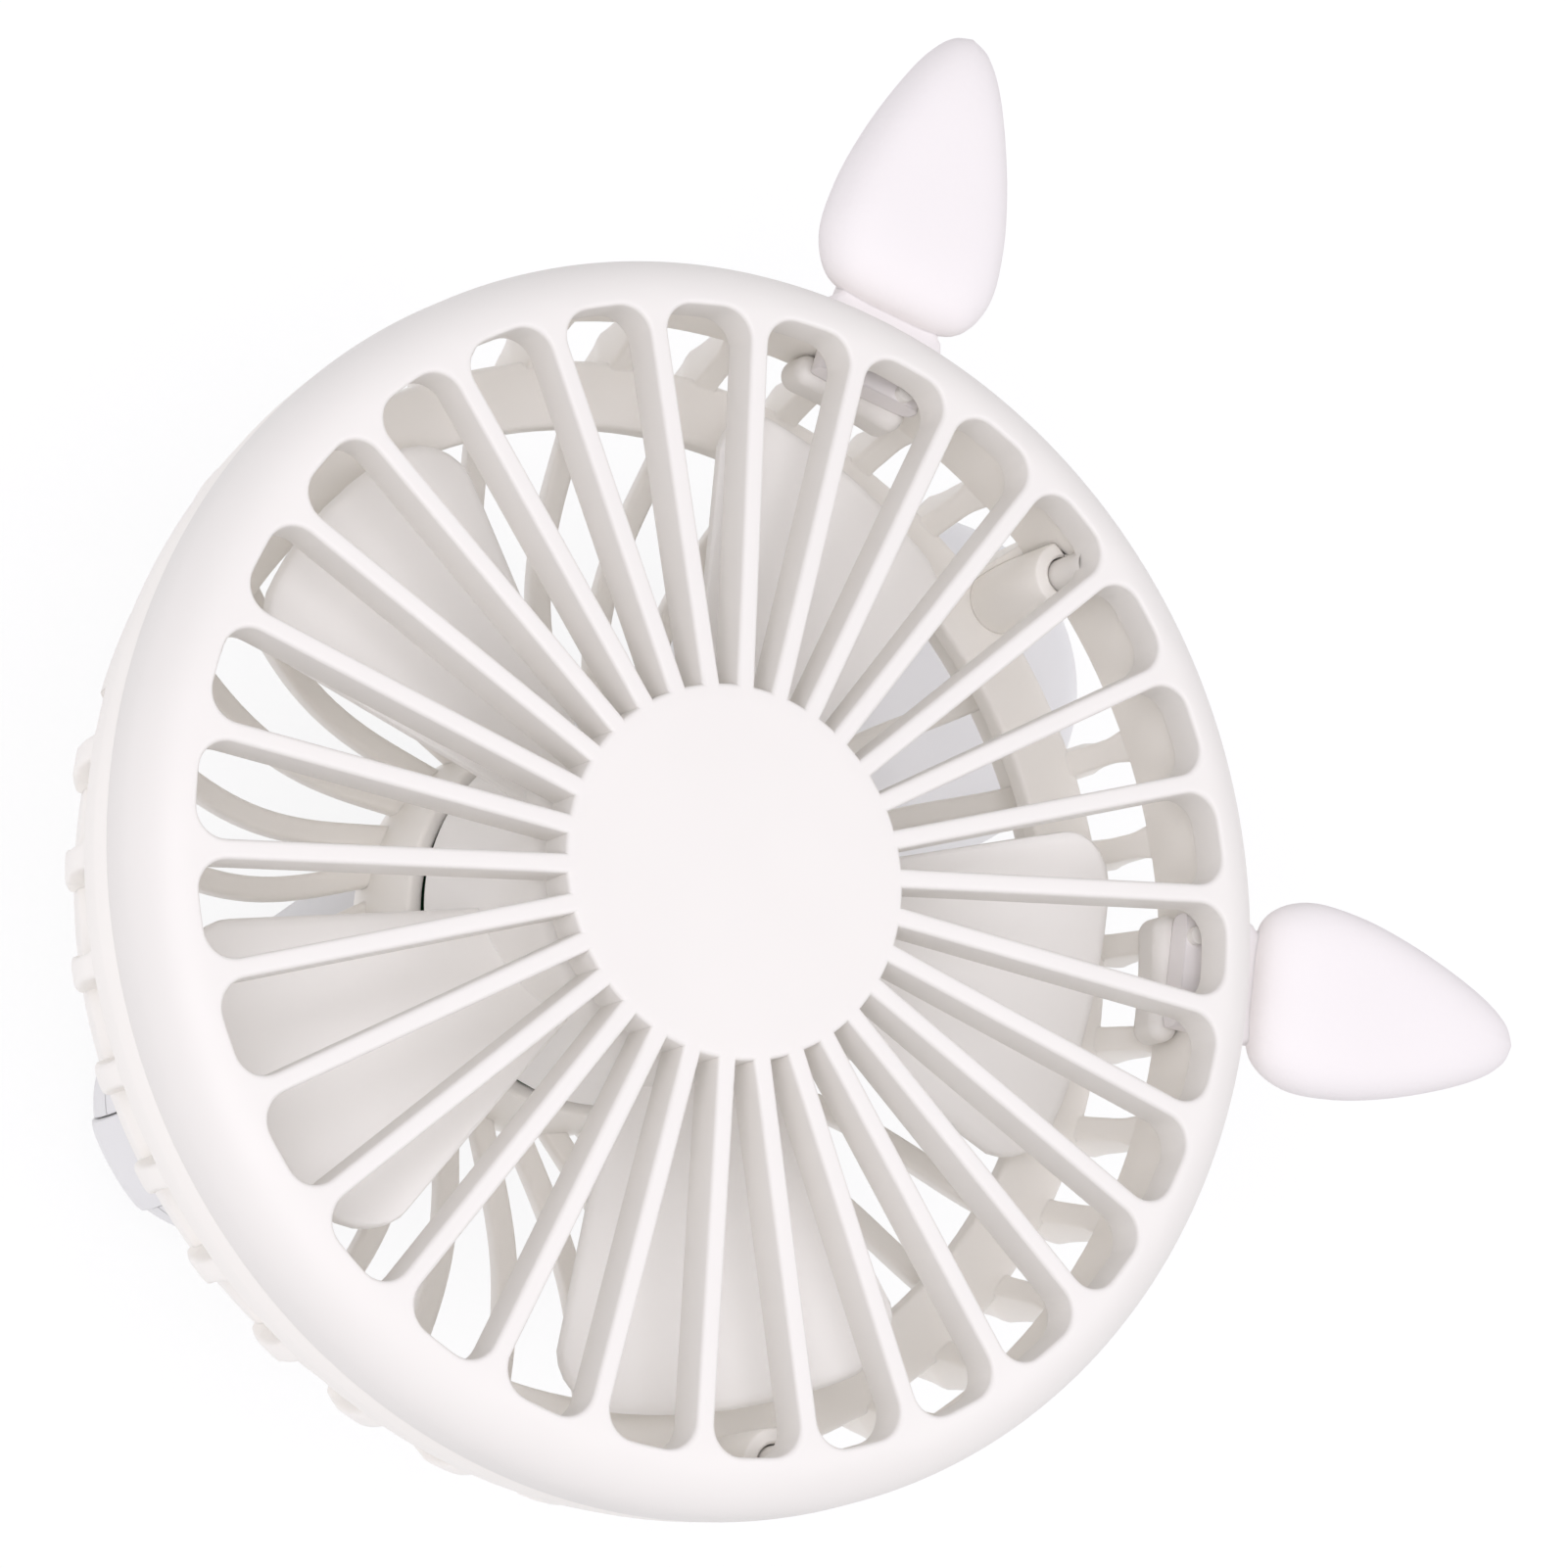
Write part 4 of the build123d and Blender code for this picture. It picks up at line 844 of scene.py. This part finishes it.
def smooth_curve(corners, steps):
    """A curve through corner points, with each point's direction taken from its neighbours."""
    points = []
    for i in range(len(corners) - 1):
        before = Vector(corners[max(i - 1, 0)])
        start, end = Vector(corners[i]), Vector(corners[i + 1])
        after = Vector(corners[min(i + 2, len(corners) - 1)])
        leave, arrive = (end - before) / 2, (after - start) / 2
        for step in range(steps):
            t = step / steps
            points.append(
                start * (2 * t**3 - 3 * t**2 + 1) + leave * (t**3 - 2 * t**2 + t)
                + end * (3 * t**2 - 2 * t**3) + arrive * (t**3 - t**2)
            )
    points.append(Vector(corners[-1]))
    return points


def ear(side, angle):
    """A soft pillow in the outline of the ear, with the flat tongue that goes through the rim."""
    shape = Shape()
    half = smooth_curve(EAR_SIDE, EAR_SIDE_STEPS)
    outline = [tuple(point) for point in half] + [(x, -y) for x, y in half[-2:0:-1]]
    rows = []
    for level in range(EAR_LEVELS + 1):
        turn = math.radians(-90 + 180 * level / EAR_LEVELS)
        swell = max(math.cos(turn), 0.0) ** EAR_FULLNESS
        height = EAR_MIDDLE + EAR_HALF_THICKNESS * math.sin(turn)
        rows.append([(EAR_CENTER + (x - EAR_CENTER) * swell, y * swell, height) for x, y in outline])
    shape.grid(rows, close_columns=True)
    low, high = TONGUE_HEIGHTS
    middle, half_height = (low + high) / 2, (high - low) / 2
    across_power, up_power = TONGUE_FULLNESS
    section = []
    for step in range(TONGUE_STEPS):
        turn = math.radians(360 * step / TONGUE_STEPS)
        across = math.copysign(abs(math.cos(turn)) ** across_power, math.cos(turn))
        up = math.copysign(abs(math.sin(turn)) ** up_power, math.sin(turn))
        section.append((TONGUE_HALF_WIDTH * across, middle + half_height * up))
    foot = []
    for x, share in TONGUE:
        foot.append([(x, y * share, middle + (z - middle) * share) for y, z in section])
    shape.grid(foot, close_columns=True)
    shape.cap(foot[0])
    shape.cap(foot[-1])
    lean = Matrix.Rotation(math.radians(EAR_LEAN[side]), 3, "Z")
    pivot = Vector((EAR_FOOT, 0, 0))
    shape.points = [tuple(pivot + lean @ (Vector(point) - pivot)) for point in shape.points]
    shape.turned(1, angle)
    name = f"ear_{side}_pillow"
    return piece(name, shape.points, shape.faces, "head", "ear_soft", (f"ear_{side}",), sharp=EAR_SHARP)


for ear_side, ear_angle in EAR_ANGLES.items():
    ear(ear_side, ear_angle)


def handle_outline(height, inset=0.0):
    """The handle's outline at a height: two round ends and straight sides, drawn in towards both faces."""
    ease = 1 - math.sqrt(max(0.0, 1 - ((height - HANDLE_HALF) / HANDLE_HALF) ** 2))
    near = KNUCKLE_RADIUS - KNUCKLE_EASE * ease - inset
    far = END_RADIUS - END_EASE * ease - inset
    taper = math.degrees(math.asin((far - near) / (END_Y - LUG_PIVOT[0])))
    points = []
    for step in range(END_STEPS + 1):
        x, y, z = polar(far, -taper + (180 + 2 * taper) * step / END_STEPS, height)
        points.append((x, END_Y + y, z))
    for step in range(END_STEPS + 1):
        x, y, z = polar(near, 180 + taper + (180 - 2 * taper) * step / END_STEPS, height)
        points.append((x, LUG_PIVOT[0] + KNUCKLE_REACH * y, z))
    return points


def pocket(profile, x, y):
    """A round cutter: a closed profile of radii and heights, turned about an upright line."""
    shape = Shape()
    revolved(shape, profile, POCKET_STEPS)
    shape.points = [(px + x, py + y, pz) for px, py, pz in shape.points]
    return shape


def prism(section, place, start, end):
    """A straight cutter: a closed section of two coordinates, placed between a start and an end."""
    shape = Shape()
    rows = [[place(u, v, depth) for u, v in section] for depth in (start, end)]
    shape.grid(rows, close_columns=True)
    shape.cap(rows[0])
    shape.cap(rows[1])
    return shape


def carve(made, *cutters):
    """Cuts each shape out of an object and keeps the result as its mesh."""
    tools = []
    for cutter in cutters:
        tool = mesh_object("cutter", cutter.points, cutter.faces)
        tools.append(tool)
        modifier = made.modifiers.new("cut", "BOOLEAN")
        modifier.operation = "DIFFERENCE"
        modifier.solver = "EXACT"
        modifier.object = tool
    result = bpy.data.meshes.new_from_object(made.evaluated_get(bpy.context.evaluated_depsgraph_get()))
    made.modifiers.clear()
    made.data = result
    for tool in tools:
        bpy.data.objects.remove(tool)


def handle_half(name, side, cutters, replaced):
    """One half of the handle, from its flat face to the parting line, with the cutters taken out."""
    shape = Shape()
    rows = []
    for step in range(HANDLE_LEVELS + 1):
        turn = math.radians(90 * step / HANDLE_LEVELS)
        drop = side * HANDLE_HALF * math.cos(turn) * (1 - HANDLE_FLAT * step / HANDLE_LEVELS)
        rows.append(handle_outline(HANDLE_HALF - drop))
    for inset, drop in ((HANDLE_LIP / 3, HANDLE_LIP), (HANDLE_LIP, HANDLE_LIP / 3)):
        lip = handle_outline(HANDLE_HALF, inset)
        rows.append([(x, y, HANDLE_HALF - side * drop) for x, y, z in lip])
    shape.grid(rows, close_columns=True)
    shape.cap(rows[0])
    shape.cap(rows[-1])
    made = mesh_object(name, shape.points, shape.faces)
    carve(made, *cutters)
    return dress(made, "handle", "handle_white", replaced, HANDLE_SHARP)


def handle():
    """Both halves, with the fork, the pin's bore and pockets for button, light, screws and socket."""
    pivot_y, pivot_z = LUG_PIVOT
    end = pivot_y + FORK_DEPTH
    width = FORK_HALF_WIDTH
    start = end - FORK_LENGTH
    fork_section = ((-width, end), (width, end), (width, start), (-width, start))
    top = 2 * HANDLE_HALF + FORK_OVERSHOOT
    fork = prism(fork_section, lambda x, y, z: (x, y, z), -FORK_OVERSHOOT, top)
    bore_radius, bore_reach = PIN_BORE
    circle = [polar(bore_radius, 360 / BORE_STEPS * step, 0)[:2] for step in range(BORE_STEPS)]
    bore = prism(circle, lambda y, z, x: (x, pivot_y + y, pivot_z + z), -bore_reach, bore_reach)
    half_width, half_height = SOCKET_HALF
    slot_section = []
    for step in range(SOCKET_STEPS):
        x, z, _ = polar(half_height, 360 * step / SOCKET_STEPS, 0)
        slot_section.append((x + math.copysign(half_width - half_height, x), SOCKET_Z + z))
    socket = prism(slot_section, lambda x, z, y: (x, y, z), *SOCKET_DEPTHS)
    pockets = [pocket(BUTTON_POCKET, 0, BUTTON_Y), pocket(LED_POCKET, 0, LED_Y), socket]
    pockets += [pocket(SCREW_POCKET, x, y) for x, y in HANDLE_SCREWS]
    handle_half("handle_front", -1, (fork, bore), ("handle_front_shell",))
    handle_half("handle_back", 1, (fork, bore, *pockets), ("handle_rear_shell",))


def handle_screws():
    """The handle's screws with cross recesses, set deep enough for the rounded back."""
    shape = Shape()
    crosses = []
    for x, y in HANDLE_SCREWS:
        shape.join(pocket(SCREW_PROFILE, x, y))
        for across, along in (CROSS_HALF, CROSS_HALF[::-1]):
            left, right = x - across, x + across
            near, far = y - along, y + along
            section = ((left, near), (right, near), (right, far), (left, far))
            crosses.append(prism(section, lambda u, v, height: (u, v, height), *CROSS_HEIGHTS))
    made = mesh_object("handle_screw_set", shape.points, shape.faces)
    carve(made, *crosses)
    return dress(made, "handle", "steel", ("handle_screws",), SHARP)


handle()
handle_screws()

# Camera, floor and light
camera_data = bpy.data.cameras.new("camera")
camera_data.lens = CAMERA_LENS
camera_data.sensor_width = CAMERA_SENSOR
camera = bpy.data.objects.new("camera", camera_data)
bpy.context.scene.collection.objects.link(camera)
axes = Matrix((CAMERA_RIGHT, CAMERA_UP, CAMERA_BACK)).transposed().to_4x4()
camera.matrix_world = Matrix.Translation(Vector(CAMERA_PLACE)) @ axes
camera_data.clip_start, camera_data.clip_end = CAMERA_CLIP
bpy.context.scene.camera = camera


def floor_material():
    """White to the camera and to reflections, and still darkened by the object's shadow."""
    material, nodes, links, bsdf = new_material("floor")
    bsdf.inputs["Base Color"].default_value = FLOOR_COLOR
    bsdf.inputs["Roughness"].default_value = FLOOR_ROUGHNESS
    path = nodes.new("ShaderNodeLightPath")
    glow = nodes.new("ShaderNodeEmission")
    glow.inputs["Strength"].default_value = FLOOR_GLOW
    seen = nodes.new("ShaderNodeMath")
    seen.operation = "MAXIMUM"
    links.new(path.outputs["Is Camera Ray"], seen.inputs[0])
    links.new(path.outputs["Is Glossy Ray"], seen.inputs[1])
    also = nodes.new("ShaderNodeMath")
    also.operation = "MAXIMUM"
    links.new(seen.outputs["Value"], also.inputs[0])
    links.new(path.outputs["Is Transmission Ray"], also.inputs[1])
    share = nodes.new("ShaderNodeMath")
    share.operation = "MULTIPLY"
    links.new(also.outputs["Value"], share.inputs[0])
    share.inputs[1].default_value = FLOOR_GLOW_SHARE
    mix = nodes.new("ShaderNodeMixShader")
    links.new(share.outputs["Value"], mix.inputs["Fac"])
    links.new(bsdf.outputs["BSDF"], mix.inputs[1])
    links.new(glow.outputs["Emission"], mix.inputs[2])
    links.new(mix.outputs["Shader"], nodes["Material Output"].inputs["Surface"])
    return material


floor_mesh = bpy.data.meshes.new("floor")
floor_corners = [
    (-FLOOR_HALF, -FLOOR_HALF, 0), (FLOOR_HALF, -FLOOR_HALF, 0),
    (FLOOR_HALF, FLOOR_HALF, 0), (-FLOOR_HALF, FLOOR_HALF, 0),
]
floor_mesh.from_pydata(floor_corners, [], [(0, 1, 2, 3)])
floor_mesh.materials.append(floor_material())
floor = bpy.data.objects.new("floor", floor_mesh)
bpy.context.scene.collection.objects.link(floor)
floor.location.z = FLOOR_HEIGHT


def lamp(name, place, size, watts):
    """A round area lamp that faces the fan."""
    data = bpy.data.lights.new(name, "AREA")
    data.shape = "DISK"
    data.size = size
    data.energy = watts
    data.color = LAMP_COLOR
    made = bpy.data.objects.new(name, data)
    made.location = place
    direction = Vector(LAMP_TARGET) - Vector(place)
    made.rotation_euler = direction.to_track_quat("-Z", "Y").to_euler()
    bpy.context.scene.collection.objects.link(made)


lamp("key", KEY_PLACE, KEY_SIZE, KEY_WATTS)
lamp("fill", FILL_PLACE, FILL_SIZE, FILL_WATTS)

world = bpy.data.worlds.new("world")
bpy.context.scene.world = world
world.use_nodes = True
background = world.node_tree.nodes["Background"]
background.inputs["Color"].default_value = WORLD_COLOR
background.inputs["Strength"].default_value = WORLD_LEVEL
bpy.context.scene.view_settings.view_transform = "Standard"
